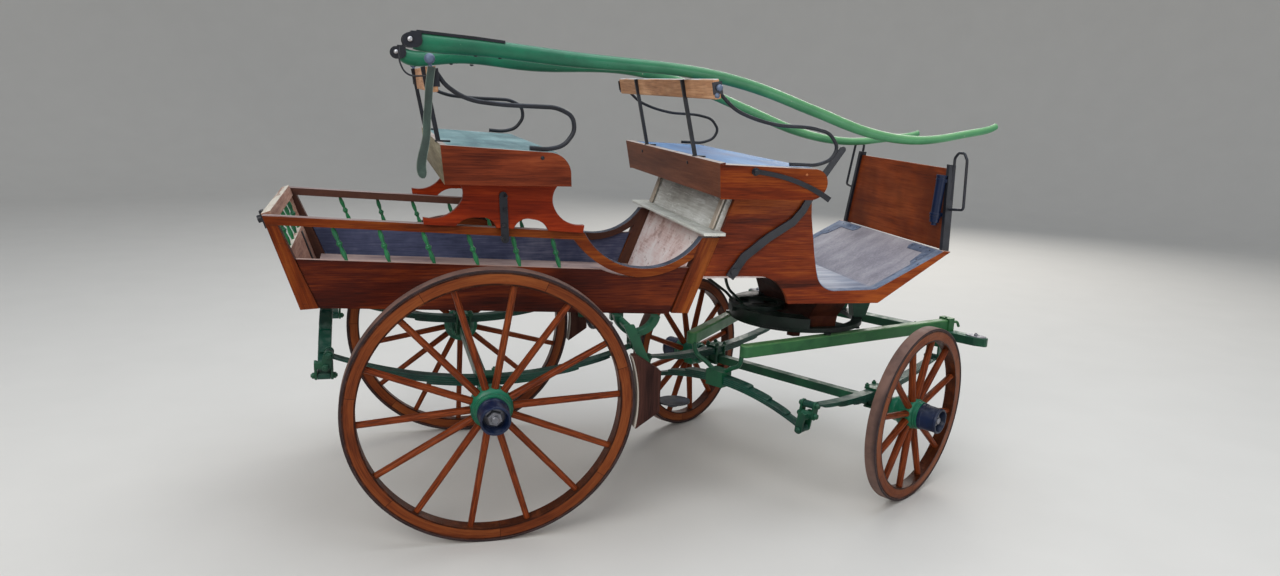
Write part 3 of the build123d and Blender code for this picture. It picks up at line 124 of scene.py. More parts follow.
# ---------------------------------------------------------------------------
# Materials
class Graph:
    """One material's node tree, written as expressions."""

    def __init__(self, name):
        self.mat = bpy.data.materials.new(name)
        self.mat.use_nodes = True
        self.nt = self.mat.node_tree
        self.nt.nodes.clear()
        self.out = self.node("ShaderNodeOutputMaterial")
        self.bsdf = self.node("ShaderNodeBsdfPrincipled")
        self.nt.links.new(self.bsdf.outputs[0], self.out.inputs[0])
        tc = self.node("ShaderNodeTexCoord")
        self.xyz, self.nor = tc.outputs["Object"], tc.outputs["Normal"]

    def node(self, kind, **settings):
        n = self.nt.nodes.new(kind)
        for k, v in settings.items():
            setattr(n, k, v)
        return n

    def put(self, socket, value):
        if isinstance(value, bpy.types.NodeSocket):
            self.nt.links.new(value, socket)
        else:
            socket.default_value = value

    def math(self, op, a, b=0.0, c=0.0, clamp=False):
        n = self.node("ShaderNodeMath", operation=op, use_clamp=clamp)
        for s, v in zip(n.inputs, (a, b, c)):
            self.put(s, v)
        return n.outputs[0]

    def dot(self, a, way):
        n = self.node("ShaderNodeVectorMath", operation="DOT_PRODUCT")
        self.put(n.inputs[0], a)
        self.put(n.inputs[1], tuple(way))
        return n.outputs["Value"]

    def local(self, at, ex, ey, ez, vec=None):
        """Coordinates in a frame of its own: three numbers."""
        n = self.node("ShaderNodeVectorMath", operation="SUBTRACT")
        self.put(n.inputs[0], vec or self.xyz)
        self.put(n.inputs[1], tuple(at))
        return [self.dot(n.outputs[0], v) for v in (ex, ey, ez)]

    def join(self, x, y, z):
        n = self.node("ShaderNodeCombineXYZ")
        for s, v in zip(n.inputs, (x, y, z)):
            self.put(s, v)
        return n.outputs[0]

    def split(self, vec):
        n = self.node("ShaderNodeSeparateXYZ")
        self.put(n.inputs[0], vec)
        return list(n.outputs)

    def scaled(self, vec, by, add=(0, 0, 0)):
        n = self.node("ShaderNodeVectorMath", operation="MULTIPLY_ADD")
        self.put(n.inputs[0], vec)
        self.put(n.inputs[1], tuple(by))
        self.put(n.inputs[2], tuple(add))
        return n.outputs[0]

    def noise(self, vec, scale, detail=4.0, rough=0.5, bend=0.0):
        n = self.node("ShaderNodeTexNoise", noise_dimensions="3D")
        self.put(n.inputs["Vector"], vec)
        n.inputs["Scale"].default_value = scale
        n.inputs["Detail"].default_value = detail
        n.inputs["Roughness"].default_value = rough
        n.inputs["Distortion"].default_value = bend
        return n.outputs[0]

    def step(self, value, lo, hi, a=0.0, b=1.0):
        """Smooth rise from a to b as value goes from lo to hi."""
        n = self.node("ShaderNodeMapRange", interpolation_type="SMOOTHSTEP")
        for s, v in zip(n.inputs, (value, lo, hi, a, b)):
            self.put(s, v)
        return n.outputs[0]

    def ramp(self, value, *stops):
        n = self.node("ShaderNodeValToRGB")
        self.put(n.inputs[0], value)
        e = n.color_ramp.elements
        while len(e) < len(stops):
            e.new(0.5)
        for i, (p, col) in enumerate(stops):
            e[i].position, e[i].color = p, col
        return n.outputs[0]

    def mix(self, share, a, b, blend="MIX"):
        n = self.node("ShaderNodeMix", data_type="RGBA", blend_type=blend, clamp_factor=True)
        self.put(n.inputs[0], share)
        self.put(n.inputs[6], a)
        self.put(n.inputs[7], b)
        return n.outputs[2]

    def lerp(self, share, a, b):
        n = self.node("ShaderNodeMix", data_type="FLOAT", clamp_factor=True)
        self.put(n.inputs[0], share)
        self.put(n.inputs[2], a)
        self.put(n.inputs[3], b)
        return n.outputs[0]

    def edge(self, radius, lo=0.02, hi=0.22):
        """Where a surface turns sharply, for worn edges."""
        b = self.node("ShaderNodeBevel", samples=4)
        b.inputs[0].default_value = radius
        g = self.node("ShaderNodeNewGeometry")
        n = self.node("ShaderNodeVectorMath", operation="DOT_PRODUCT")
        self.put(n.inputs[0], b.outputs[0])
        self.put(n.inputs[1], g.outputs["Normal"])
        return self.step(self.math("SUBTRACT", 1.0, n.outputs["Value"]), lo, hi)

    def rounded(self, radius):
        b = self.node("ShaderNodeBevel", samples=4)
        b.inputs[0].default_value = radius
        return b.outputs[0]

    def bump(self, height, depth, normal=None, strength=1.0):
        n = self.node("ShaderNodeBump")
        n.inputs["Strength"].default_value = strength
        n.inputs["Distance"].default_value = depth
        self.put(n.inputs["Height"], height)
        if normal is not None:
            self.put(n.inputs["Normal"], normal)
        return n.outputs[0]

    def finish(self, colour, rough, normal=None, metal=0.0, coat=0.0, coat_rough=0.1, spec=0.5):
        self.put(self.bsdf.inputs["Base Color"], colour)
        self.put(self.bsdf.inputs["Roughness"], rough)
        self.put(self.bsdf.inputs["Metallic"], metal)
        self.bsdf.inputs["Coat Weight"].default_value = coat
        self.bsdf.inputs["Coat Roughness"].default_value = coat_rough
        self.bsdf.inputs["Specular IOR Level"].default_value = spec
        if normal is not None:
            self.put(self.bsdf.inputs["Normal"], normal)
        return self.mat


AXES = {"x": ((1, 0, 0), (0, 1, 0), (0, 0, 1)), "y": ((0, 1, 0), (1, 0, 0), (0, 0, 1)), "z": ((0, 0, 1), (1, 0, 0), (0, 1, 0))}


def leant(dx, dz):
    """Grain along a leaning upright."""
    n = math.hypot(dx, dz)
    return ((dx / n, 0, dz / n), (dz / n, 0, -dx / n), (0, 1, 0))


def grain_of(g, q, size=1.0, seed=0.0):
    """(figure, fibre): broad figure and fine streaks; q's first number runs along the grain."""
    wide = g.noise(g.scaled(q, (1.7 * size, 13 * size, 13 * size), (seed, seed, seed)), 1.0, 4, 0.55, 0.6)
    fine = g.noise(g.scaled(q, (9 * size, 190 * size, 190 * size), (seed, 0, seed)), 1.0, 3, 0.6, 0.2)
    return wide, fine


def varnished(name, light_c, mid_c, dark_c, way="x", size=1.0, shade=0.5, rough=0.34, coat=0.22, worn=0.25, worn_c=None, q=None, g=None, wide_fine=None, extra=None, top=None, rounding=0.0018):
    """Varnished wood: figure, pores, darker patches, rubbed edges."""
    g = g or Graph(name)
    if q is None:
        axes = AXES[way] if isinstance(way, str) else way
        q = g.join(*g.local((0, 0, 0), *axes))
    wide, fine = wide_fine or grain_of(g, q, size)
    tone = g.math("MULTIPLY_ADD", fine, 0.42, g.math("MULTIPLY", wide, 0.75))
    colour = g.ramp(tone, (0.38, dark_c), (0.56, mid_c), (0.74, light_c))
    patch = g.noise(g.xyz, 3.1, 3, 0.55)
    colour = g.mix(g.step(patch, 0.40, 0.72, 0.0, shade), colour, dark_c, "MIX")
    pore = g.step(g.noise(g.scaled(q, (26 * size, 560 * size, 560 * size)), 1.0, 2, 0.5), 0.60, 0.72)
    colour = g.mix(g.math("MULTIPLY", pore, 0.35), colour, dark_c, "MULTIPLY")
    rub = g.math("MULTIPLY", g.edge(0.0035), g.step(g.noise(g.xyz, 34, 4, 0.6), 0.42, 0.62))
    scratch = g.step(g.noise(g.scaled(q, (20, 240, 240)), 1.0, 2, 0.6, 1.2), 0.755, 0.79)
    scratch = g.math("MULTIPLY", scratch, g.step(g.noise(g.xyz, 5.5, 2, 0.5), 0.52, 0.66))
    pale = worn_c or tuple(min(1.0, c * 1.55 + 0.02) for c in light_c[:3]) + (1,)
    colour = g.mix(g.math("MULTIPLY", rub, worn), colour, pale)
    colour = g.mix(g.math("MULTIPLY", scratch, 0.45), colour, pale)
    r = g.lerp(g.step(g.noise(g.xyz, 11, 4, 0.6), 0.35, 0.75), rough, rough + 0.16)
    r = g.lerp(rub, r, 0.7)
    # Where top is given, upward faces are mixed toward its pale colour in grain-wise patches: weathering, with painted
    # sky sheen.
    if top:
        face = g.step(g.split(g.nor)[2], top[1], top[1] + 0.15)
        face = g.math("MULTIPLY", face, g.step(g.noise(g.scaled(q, (6, 60, 60)), 1.0, 4, 0.6), 0.28, 0.52))
        colour = g.mix(face, colour, g.mix(fine, top[0], tuple(c * 0.6 for c in top[0][:3]) + (1,)))
        r = g.lerp(face, r, 0.62)
    if extra:
        colour, r = extra(g, colour, r, q)
    n = g.bump(g.math("ADD", g.math("MULTIPLY", pore, -0.6), g.math("MULTIPLY", fine, 0.5)), 0.00035, g.rounded(rounding))
    return g.finish(colour, r, n, coat=coat * 0.12, coat_rough=0.25, spec=0.1)


def weathered(name, pale, mid, dark, way="y", size=1.0, flake=0.5, stain=None, rough=0.72, coat=0.0, q=None, extra=None, patch_scale=4.0):
    """Old bare or thinly painted boards, with flaking and stains."""
    g = Graph(name)
    axes = AXES[way] if isinstance(way, str) else way
    q = q or g.join(*g.local((0, 0, 0), *axes))
    wide, fine = grain_of(g, q, size)
    cloud = g.noise(g.xyz, patch_scale, 5, 0.62)
    tone = g.math("ADD", g.math("MULTIPLY", fine, 0.32), g.math("ADD", g.math("MULTIPLY", wide, 0.35), g.math("MULTIPLY", cloud, 0.42)))
    colour = g.ramp(tone, (0.34, dark), (0.53, mid), (0.72, pale))
    peel = g.step(g.noise(g.scaled(q, (9 * size, 42 * size, 42 * size)), 1.0, 5, 0.65, 0.9), 0.56, 0.62)
    colour = g.mix(g.math("MULTIPLY", peel, flake), colour, pale)
    crack = g.step(g.noise(g.scaled(q, (5 * size, 150 * size, 150 * size)), 1.0, 2, 0.5), 0.70, 0.76)
    colour = g.mix(g.math("MULTIPLY", crack, 0.55), colour, dark)
    if stain:
        s = g.step(g.noise(g.xyz, 6.5, 5, 0.66, 0.5), 0.56, 0.70)
        colour = g.mix(g.math("MULTIPLY", s, 0.75), colour, stain)
    colour = g.mix(g.math("MULTIPLY", g.edge(0.004), 0.5), colour, pale)
    r = g.lerp(peel, rough, rough + 0.12)
    if extra:
        colour, r = extra(g, colour, r, q)
    h = g.math("ADD", g.math("MULTIPLY", peel, 0.5), g.math("ADD", g.math("MULTIPLY", crack, -1.0), g.math("MULTIPLY", fine, 0.4)))
    return g.finish(colour, r, g.bump(h, 0.0006, g.rounded(0.002)), coat=coat * 0.3, coat_rough=0.25, spec=0.25)


def painted(name, colour, alt, rough=0.3, coat=0.5, chip=None, chips=0.35, dust_and_sheen=(0.30, 0.33, 0.32, 1), dust_and_sheen_share=0.25, metal=0.0, rounding=0.0018, painted_top_light=None):
    """Paint on iron or wood: mottled, dusty with painted sky sheen on top, where asked painted lighter on upward faces,
    chipped on the edges.
    """
    g = Graph(name)
    tone = g.noise(g.xyz, 9, 5, 0.6)
    c = g.mix(g.step(tone, 0.38, 0.68), colour, alt)
    fine = g.noise(g.xyz, 160, 3, 0.6)
    c = g.mix(g.math("MULTIPLY", g.step(fine, 0.52, 0.72), 0.25), c, tuple(v * 0.55 for v in colour[:3]) + (1,))
    nz = g.split(g.nor)[2]
    # Where asked, upward faces are painted lighter: painted sky light.
    if painted_top_light:
        c = g.mix(g.step(nz, 0.1, 0.9, 0.0, 0.75), c, painted_top_light)
    # Upward faces are mixed toward a pale bluish tone: settled dust, and painted sky sheen.
    d = g.math("MULTIPLY", g.step(nz, 0.25, 0.95), g.step(g.noise(g.xyz, 22, 5, 0.65), 0.42, 0.70))
    c = g.mix(g.math("MULTIPLY", d, dust_and_sheen_share), c, dust_and_sheen)
    gone = g.math("MULTIPLY", g.edge(0.003), g.step(g.noise(g.xyz, 60, 4, 0.65), 0.50, 0.60))
    spot = g.step(g.noise(g.xyz, 95, 3, 0.55), 0.735, 0.755)
    gone = g.math("MAXIMUM", gone, spot)
    c = g.mix(g.math("MULTIPLY", gone, chips), c, chip or (0.10, 0.065, 0.045, 1))
    r = g.lerp(g.step(tone, 0.3, 0.7), rough, rough + 0.14)
    r = g.lerp(d, r, 0.75)
    r = g.lerp(gone, r, 0.8)
    h = g.math("ADD", g.math("MULTIPLY", fine, 0.35), g.math("MULTIPLY", gone, -1.0))
    return g.finish(c, r, g.bump(h, 0.00025, g.rounded(rounding)), metal=metal, coat=coat * 0.3, coat_rough=0.14, spec=0.3)


def worn_iron(name, colour, alt, rust, rough=0.5, metal=0.7, rusty=0.5, axle=None, tread=None):
    """Bare iron with rust; a tyre's running face, square to its axle, is worn paler."""
    g = Graph(name)
    n1 = g.noise(g.xyz, 14, 6, 0.65)
    c = g.mix(g.step(n1, 0.35, 0.68), colour, alt)
    rst = g.step(g.noise(g.xyz, 31, 6, 0.7, 0.3), 0.50, 0.66)
    c = g.mix(g.math("MULTIPLY", rst, rusty), c, rust)
    if axle is not None:
        face = g.step(g.math("ABSOLUTE", g.dot(g.nor, axle)), 0.7, 0.5)
        face = g.math("MULTIPLY", face, g.step(g.noise(g.xyz, 8, 5, 0.65), 0.30, 0.62, 0.45, 0.95))
        c = g.mix(face, c, tread)
    e = g.edge(0.003)
    c = g.mix(g.math("MULTIPLY", e, 0.5), c, tuple(min(1, v * 1.8) for v in colour[:3]) + (1,))
    fine = g.noise(g.xyz, 240, 3, 0.6)
    r = g.lerp(rst, g.lerp(fine, rough, rough + 0.12), 0.82)
    return g.finish(c, r, g.bump(g.math("ADD", fine, g.math("MULTIPLY", rst, 0.8)), 0.0003, g.rounded(0.0018)), metal=g.lerp(rst, metal, 0.1), spec=0.3)


def deep(colours, r, g, b):
    """The same colours, each channel scaled."""
    return tuple((min(1.0, c[0] * r), min(1.0, c[1] * g), min(1.0, c[2] * b), 1.0) for c in colours)


M = {}
OAK = deep((srgb(208, 128, 62), srgb(156, 78, 36), srgb(80, 36, 18)), 0.44, 0.32, 0.20)
MAHOGANY = (srgb(164, 80, 26), srgb(116, 43, 14), srgb(56, 19, 8))
PANEL = (srgb(112, 46, 16), srgb(68, 20, 9), srgb(30, 9, 6))
PALE_TOP = srgb(205, 196, 186)


def panel_extra(side_y):
    """The inside of a side panel is old grey-blue paint."""
    def paint(g, colour, r, q):
        ny = g.split(g.nor)[1]
        y = g.split(g.xyz)[1]
        side = g.math("SIGN", g.math("ADD", y, Y_MID / 1000))
        inner = g.step(g.math("MULTIPLY", g.math("MULTIPLY", ny, side), -1.0), 0.4, 0.6)
        wide, fine = grain_of(g, q, 1.2, 4.0)
        grey = g.ramp(g.math("MULTIPLY_ADD", fine, 0.4, g.math("MULTIPLY", g.noise(g.xyz, 5, 4, 0.6), 0.7)), (0.35, srgb(44, 50, 72)), (0.58, srgb(78, 84, 112)), (0.8, srgb(128, 130, 150)))
        colour = g.mix(inner, colour, grey)
        # Upward faces are mixed pale pink, with the grain in it: painted sky sheen.
        nz = g.step(g.split(g.nor)[2], 0.6, 0.8)
        pale = g.mix(fine, srgb(214, 190, 182), srgb(170, 138, 128))
        colour = g.mix(g.math("MULTIPLY", nz, 0.85), colour, pale)
        return colour, g.lerp(g.math("MAXIMUM", inner, nz), r, 0.72)
    return paint


M["panel"] = varnished("side_panel_wood", *PANEL, way="x", shade=0.65, rough=0.32, coat=0.25, extra=panel_extra(0))


def rail_extra(g, colour, r, q):
    """Inner faces of rails and posts are darker, as painted shade, and rougher."""
    ny = g.split(g.nor)[1]
    side = g.math("SIGN", g.math("ADD", g.split(g.xyz)[1], Y_MID / 1000))
    inner = g.step(g.math("MULTIPLY", g.math("MULTIPLY", ny, side), -1.0), 0.4, 0.6)
    # Faces turned inward are mixed toward dark brown-grey: painted shade.
    colour = g.mix(g.math("MULTIPLY", inner, 0.8), colour, g.mix(g.noise(g.xyz, 18, 4, 0.6), srgb(56, 42, 40), srgb(88, 66, 58)))
    return colour, g.lerp(inner, r, 0.55)


def rail_wood(name):
    """Grain follows the rail, and turns with the two leaning posts."""
    g = Graph(name)
    x, y, z = g.split(g.xyz)
    along = g.join(x, y, z)
    rear = g.join(*g.local((0, 0, 0), *leant(-108, 315)))
    front = g.join(*g.local((0, 0, 0), *leant(107, 284)))
    a, b, c = grain_of(g, along), grain_of(g, rear, 1.0, 3.0), grain_of(g, front, 1.0, 7.0)
    # rear post: behind the line through (-558, 826) and (-679, 1109); front post: ahead of (670, 800) - (783, 1062)
    t = g.math("ADD", g.math("MULTIPLY", z, 0.4276), x)
    is_rear = g.step(t, (-558 - X_MID + 826 * 0.4276) / 1000 + 0.004, (-558 - X_MID + 826 * 0.4276) / 1000 - 0.004)
    below = g.step(z, 1.112, 1.100)
    is_rear = g.math("MULTIPLY", is_rear, below)
    u = g.math("SUBTRACT", x, g.math("MULTIPLY", z, 0.376))
    is_front = g.step(u, (672 - X_MID - 781 * 0.376) / 1000, (678 - X_MID - 781 * 0.376) / 1000)
    wide = g.lerp(is_front, g.lerp(is_rear, a[0], b[0]), c[0])
    fine = g.lerp(is_front, g.lerp(is_rear, a[1], b[1]), c[1])
    seam = g.math("MAXIMUM", g.math("MULTIPLY", g.math("MULTIPLY", is_rear, g.math("SUBTRACT", 1.0, is_rear)), 4.0), g.math("MULTIPLY", g.math("MULTIPLY", is_front, g.math("SUBTRACT", 1.0, is_front)), 4.0))

    def extra(g, colour, r, q):
        colour = g.mix(g.math("MULTIPLY", seam, 0.6), colour, srgb(60, 28, 16))
        return rail_extra(g, colour, r, q)
    return varnished(name, *OAK, q=along, g=g, wide_fine=(wide, fine), shade=0.3, rough=0.36, coat=0.2, extra=extra, top=(srgb(176, 160, 158), 0.55))


M["rail"] = rail_wood("rail_wood")
M["boot"] = varnished("boot_side_wood", *MAHOGANY, way="x", shade=0.35, rough=0.32, coat=0.22, size=0.9, extra=panel_extra(0))
M["seat_wood"] = varnished("seat_side_wood", *MAHOGANY, way="x", shade=0.4, rough=0.36, coat=0.2, top=(srgb(186, 176, 172), 0.6))
M["trestle"] = varnished("trestle_wood", *deep((srgb(164, 72, 34), srgb(130, 48, 20), srgb(74, 24, 12)), 1.0, 0.66, 0.45), way="x", shade=0.35, rough=0.34, coat=0.22)
M["dash"] = varnished("dash_wood", *deep((srgb(186, 108, 54), srgb(152, 78, 36), srgb(88, 44, 26)), 0.76, 0.56, 0.5), way="y", shade=0.75, rough=0.4, coat=0.18, size=0.8)
M["tail"] = varnished("tailboard_wood", srgb(190, 156, 138), srgb(158, 118, 102), srgb(104, 66, 56), way="y", shade=0.25, rough=0.5, coat=0.15, top=(srgb(226, 218, 204), 0.35))
M["back"] = varnished("back_board_wood", *deep((srgb(196, 152, 116), srgb(164, 118, 86), srgb(104, 68, 48)), 1.5, 1.55, 1.6), way="y", shade=0.35, rough=0.5, coat=0.15, top=(srgb(214, 214, 214), 0.4))
M["block"] = varnished("brake_block_wood", *deep((srgb(112, 74, 58), srgb(86, 52, 42), srgb(48, 28, 24)), 0.55, 0.55, 0.62), way="z", shade=0.4, rough=0.55, coat=0.0)
M["transom"] = varnished("transom_wood", *deep((srgb(104, 56, 38), srgb(76, 36, 26), srgb(38, 18, 14)), 0.5, 0.45, 0.4), way="y", shade=0.5, rough=0.5, coat=0.15)


def seat_extra(g, colour, r, q):
    """The seat's rear and front boards are browner than its sides, with the grain across."""
    nx = g.math("ABSOLUTE", g.split(g.nor)[0])
    face = g.step(nx, 0.55, 0.75)
    across = g.join(*g.local((0, 0, 0), *AXES["y"]))
    wide, fine = grain_of(g, across, 0.9, 2.0)
    brown = g.ramp(g.math("MULTIPLY_ADD", fine, 0.42, g.math("MULTIPLY", wide, 0.75)), (0.32, srgb(72, 36, 24)), (0.56, srgb(108, 62, 42)), (0.8, srgb(140, 86, 60)))
    return g.mix(face, colour, brown), g.lerp(face, r, 0.5)


M["fseat"] = varnished("front_seat_wood", *MAHOGANY, way="x", shade=0.4, rough=0.36, coat=0.2, extra=seat_extra, top=(srgb(206, 196, 190), 0.6))


def rear_seat_extra(g, colour, r, q):
    nx = g.math("ABSOLUTE", g.split(g.nor)[0])
    face = g.step(nx, 0.55, 0.75)
    across = g.join(*g.local((0, 0, 0), *AXES["y"]))
    wide, fine = grain_of(g, across, 0.9, 5.0)
    grey = g.ramp(g.math("MULTIPLY_ADD", fine, 0.42, g.math("MULTIPLY", wide, 0.75)), (0.32, srgb(92, 84, 66)), (0.56, srgb(138, 128, 104)), (0.8, srgb(178, 168, 142)))
    return g.mix(face, colour, grey), g.lerp(face, r, 0.6)


M["rseat"] = varnished("rear_seat_wood", *deep((srgb(158, 72, 42), srgb(126, 50, 28), srgb(74, 26, 16)), 0.8, 0.95, 0.9), way="x", shade=0.35, rough=0.38, coat=0.2, extra=rear_seat_extra, top=(srgb(206, 196, 190), 0.6))


def seat_paint(name, base, pale, dark):
    """Rubbed blue-grey paint on the flat seat boards."""
    g = Graph(name)
    q = g.join(*g.local((0, 0, 0), *AXES["y"]))
    wide, fine = grain_of(g, q, 0.8, 1.5)
    cloud = g.noise(g.xyz, 3.2, 5, 0.6)
    c = g.ramp(g.math("MULTIPLY_ADD", cloud, 0.6, g.math("MULTIPLY", wide, 0.4)), (0.36, dark), (0.52, base), (0.70, pale))
    c = g.mix(g.math("MULTIPLY", g.step(fine, 0.55, 0.72), 0.3), c, dark)
    rub = g.math("MULTIPLY", g.edge(0.009, 0.01, 0.2), g.step(g.noise(g.xyz, 24, 4, 0.6), 0.36, 0.56))
    c = g.mix(g.math("MULTIPLY", rub, 0.8), c, srgb(214, 214, 212))
    scuff = g.step(g.noise(g.scaled(q, (14, 60, 60)), 1.0, 4, 0.6, 0.6), 0.62, 0.68)
    c = g.mix(g.math("MULTIPLY", scuff, 0.35), c, pale)
    r = g.lerp(g.step(cloud, 0.35, 0.7), 0.5, 0.64)
    return g.finish(c, r, g.bump(g.math("ADD", fine, g.math("MULTIPLY", scuff, 0.6)), 0.0004, g.rounded(0.002)), coat=0.04, coat_rough=0.3, spec=0.22)


M["fseat_top"] = seat_paint("front_seat_top_paint", srgb(70, 118, 168), srgb(112, 156, 202), srgb(46, 80, 128))
M["rseat_top"] = seat_paint("rear_seat_top_paint", srgb(118, 150, 154), srgb(156, 184, 188), srgb(84, 112, 120))


def foot_extra(g, colour, r, q):
    """The heel's curved boards are bluer, in streaks along the grain."""
    x, y, z = g.split(g.xyz)
    heel = g.step(x, (1530 - X_MID) / 1000, (1505 - X_MID) / 1000)
    blue = g.ramp(g.noise(g.scaled(q, (3, 30, 30)), 1.0, 5, 0.6), (0.36, srgb(92, 104, 128)), (0.55, srgb(126, 138, 160)), (0.72, srgb(164, 172, 190)))
    colour = g.mix(g.math("MULTIPLY", heel, 0.8), colour, blue)
    front = g.step(z, 0.90, 1.02)
    colour = g.mix(g.math("MULTIPLY", front, 0.25), colour, srgb(176, 168, 166))
    return colour, r


M["foot"] = weathered("footboard_wood", srgb(176, 172, 178), srgb(138, 134, 144), srgb(94, 90, 102), way="x", flake=0.25, rough=0.5, coat=0.15, extra=foot_extra, patch_scale=5)


def bulk_extra(g, colour, r, q):
    """Above the ledge the boards are silvery, below it pinkish with brown stains; the front face is plain."""
    z = g.split(g.xyz)[2]
    low = g.step(z, 1.080, 1.066)
    wide, fine = grain_of(g, q, 1.0, 8.0)
    tone = g.math("ADD", g.math("MULTIPLY", g.noise(g.xyz, 6.5, 6, 0.66, 0.4), 0.85), g.math("MULTIPLY", fine, 0.18))
    pink = g.ramp(tone, (0.34, srgb(184, 140, 128)), (0.46, srgb(238, 216, 212)), (0.58, srgb(252, 242, 240)), (0.74, srgb(255, 251, 249)))
    spots = g.step(g.noise(g.xyz, 26, 4, 0.6, 0.8), 0.60, 0.68)
    pink = g.mix(g.math("MULTIPLY", spots, 0.5), pink, srgb(140, 84, 66))
    return g.mix(low, colour, pink), g.lerp(low, r, 0.6)


M["bulk"] = weathered("boot_rear_wood", srgb(238, 240, 238), srgb(196, 196, 190), srgb(124, 116, 110), way="y", size=0.8, flake=0.7, rough=0.6, extra=bulk_extra)
M["ledge"] = weathered("ledge_wood", srgb(236, 238, 232), srgb(206, 208, 200), srgb(128, 120, 114), way="y", flake=0.4, rough=0.6)
M["floor"] = weathered("floor_wood", srgb(206, 184, 176), srgb(160, 138, 134), srgb(100, 86, 92), way="x", flake=0.3, rough=0.7, stain=srgb(92, 84, 104))
M["edging_wood"] = weathered("edging_wood", srgb(214, 208, 198), srgb(182, 168, 152), srgb(128, 108, 92), way="z", flake=0.4, rough=0.6)

GREEN, GREEN_B = srgb(14, 78, 50), srgb(8, 54, 40)
M["gear"] = painted("green_gear_paint", GREEN, GREEN_B, rough=0.32, coat=0.45, dust_and_sheen=srgb(120, 136, 130), dust_and_sheen_share=0.22, painted_top_light=srgb(40, 96, 74))
M["spring"] = painted("spring_paint", srgb(14, 70, 56), srgb(8, 46, 40), rough=0.34, coat=0.4, dust_and_sheen=srgb(120, 136, 130), dust_and_sheen_share=0.35)
M["futchell"] = painted("futchell_paint", srgb(48, 104, 60), srgb(32, 84, 50), rough=0.38, coat=0.35, dust_and_sheen=srgb(150, 168, 130), dust_and_sheen_share=0.35, painted_top_light=srgb(84, 136, 82))
M["spindle"] = painted("spindle_paint", srgb(36, 118, 72), srgb(22, 88, 58), rough=0.3, coat=0.5, dust_and_sheen_share=0.15)
M["nave"] = painted("nave_paint", srgb(8, 100, 70), srgb(5, 74, 58), rough=0.28, coat=0.5, dust_and_sheen_share=0.1, painted_top_light=srgb(36, 124, 94))
M["black"] = painted("black_iron_paint", srgb(36, 38, 46), srgb(24, 25, 30), rough=0.34, coat=0.3, chip=srgb(110, 104, 102), chips=0.5, dust_and_sheen=srgb(120, 126, 140), dust_and_sheen_share=0.3)
M["cap"] = painted("nave_cap_paint", srgb(8, 28, 62), srgb(6, 16, 38), rough=0.34, coat=0.3, chip=srgb(110, 110, 120), chips=0.4, dust_and_sheen=srgb(120, 126, 140), dust_and_sheen_share=0.3)
M["ring"] = painted("turntable_paint", srgb(6, 28, 20), srgb(5, 13, 12), rough=0.36, coat=0.25, chip=srgb(100, 100, 98), chips=0.35, dust_and_sheen=srgb(100, 112, 110), dust_and_sheen_share=0.25)
for look, axle in (("tyre", body_way(0, 1, 0)), ("fore_tyre", fore_way(0, 1, 0))):
    M[look] = worn_iron(look + "_iron", srgb(60, 45, 46), srgb(38, 27, 29), srgb(50, 29, 23), rough=0.55, metal=0.25, axle=axle, tread=srgb(122, 94, 84))
M["steel"] = worn_iron("bare_iron", srgb(150, 152, 160), srgb(108, 108, 114), srgb(96, 70, 56), rough=0.38, metal=0.8, rusty=0.35)
M["quadrant"] = worn_iron("quadrant_iron", srgb(132, 126, 122), srgb(98, 88, 84), srgb(110, 74, 56), rough=0.5, metal=0.4, rusty=0.5)
M["strip"] = painted("edging_metal", srgb(104, 118, 142), srgb(72, 84, 108), rough=0.42, coat=0.15, chip=srgb(176, 178, 186), chips=0.5, dust_and_sheen=srgb(170, 176, 190), dust_and_sheen_share=0.4, metal=0.25)
M["dark_strip"] = painted("scoop_strip_metal", srgb(74, 82, 98), srgb(48, 52, 64), rough=0.42, coat=0.15, chip=srgb(150, 156, 168), chips=0.6, dust_and_sheen=srgb(136, 146, 164), dust_and_sheen_share=0.45, metal=0.25)
M["bright"] = worn_iron("bolt_steel", srgb(206, 206, 210), srgb(164, 162, 164), srgb(120, 92, 76), rough=0.3, metal=0.9, rusty=0.2)
M["copper"] = worn_iron("copper_bolt", srgb(196, 124, 78), srgb(160, 92, 58), srgb(110, 60, 40), rough=0.34, metal=0.8, rusty=0.3)


def shaft_paint():
    """Gloss green, lighter towards the tips, and painted lighter on top as sky light."""
    g = Graph("shaft_paint")
    x, y, z = g.split(g.xyz)
    ahead_s = g.step(x, (150 - X_MID) / 1000, (1500 - X_MID) / 1000)
    base = g.mix(ahead_s, srgb(30, 108, 80), srgb(78, 144, 98))
    alt = g.mix(ahead_s, srgb(26, 90, 68), srgb(64, 128, 86))
    tone = g.noise(g.xyz, 7, 5, 0.6)
    c = g.mix(g.step(tone, 0.38, 0.68), base, alt)
    nz = g.split(g.nor)[2]
    # Lighter from underside to top: painted sky light.
    c = g.mix(g.step(nz, -0.1, 1.0, 0.0, 0.55), c, g.mix(ahead_s, srgb(74, 136, 108), srgb(134, 182, 126)))
    fine = g.noise(g.scaled(g.xyz, (12, 150, 150)), 1.0, 3, 0.6)
    c = g.mix(g.math("MULTIPLY", g.step(fine, 0.6, 0.75), 0.2), c, alt)
    chip = g.step(g.noise(g.xyz, 70, 4, 0.6), 0.72, 0.74)
    c = g.mix(g.math("MULTIPLY", chip, 0.5), c, srgb(196, 200, 180))
    r = g.lerp(g.step(tone, 0.3, 0.7), 0.26, 0.42)
    return g.finish(c, r, g.bump(g.math("ADD", fine, g.math("MULTIPLY", chip, -1.0)), 0.0003), coat=0.14, coat_rough=0.14, spec=0.3)


M["shaft"] = shaft_paint()


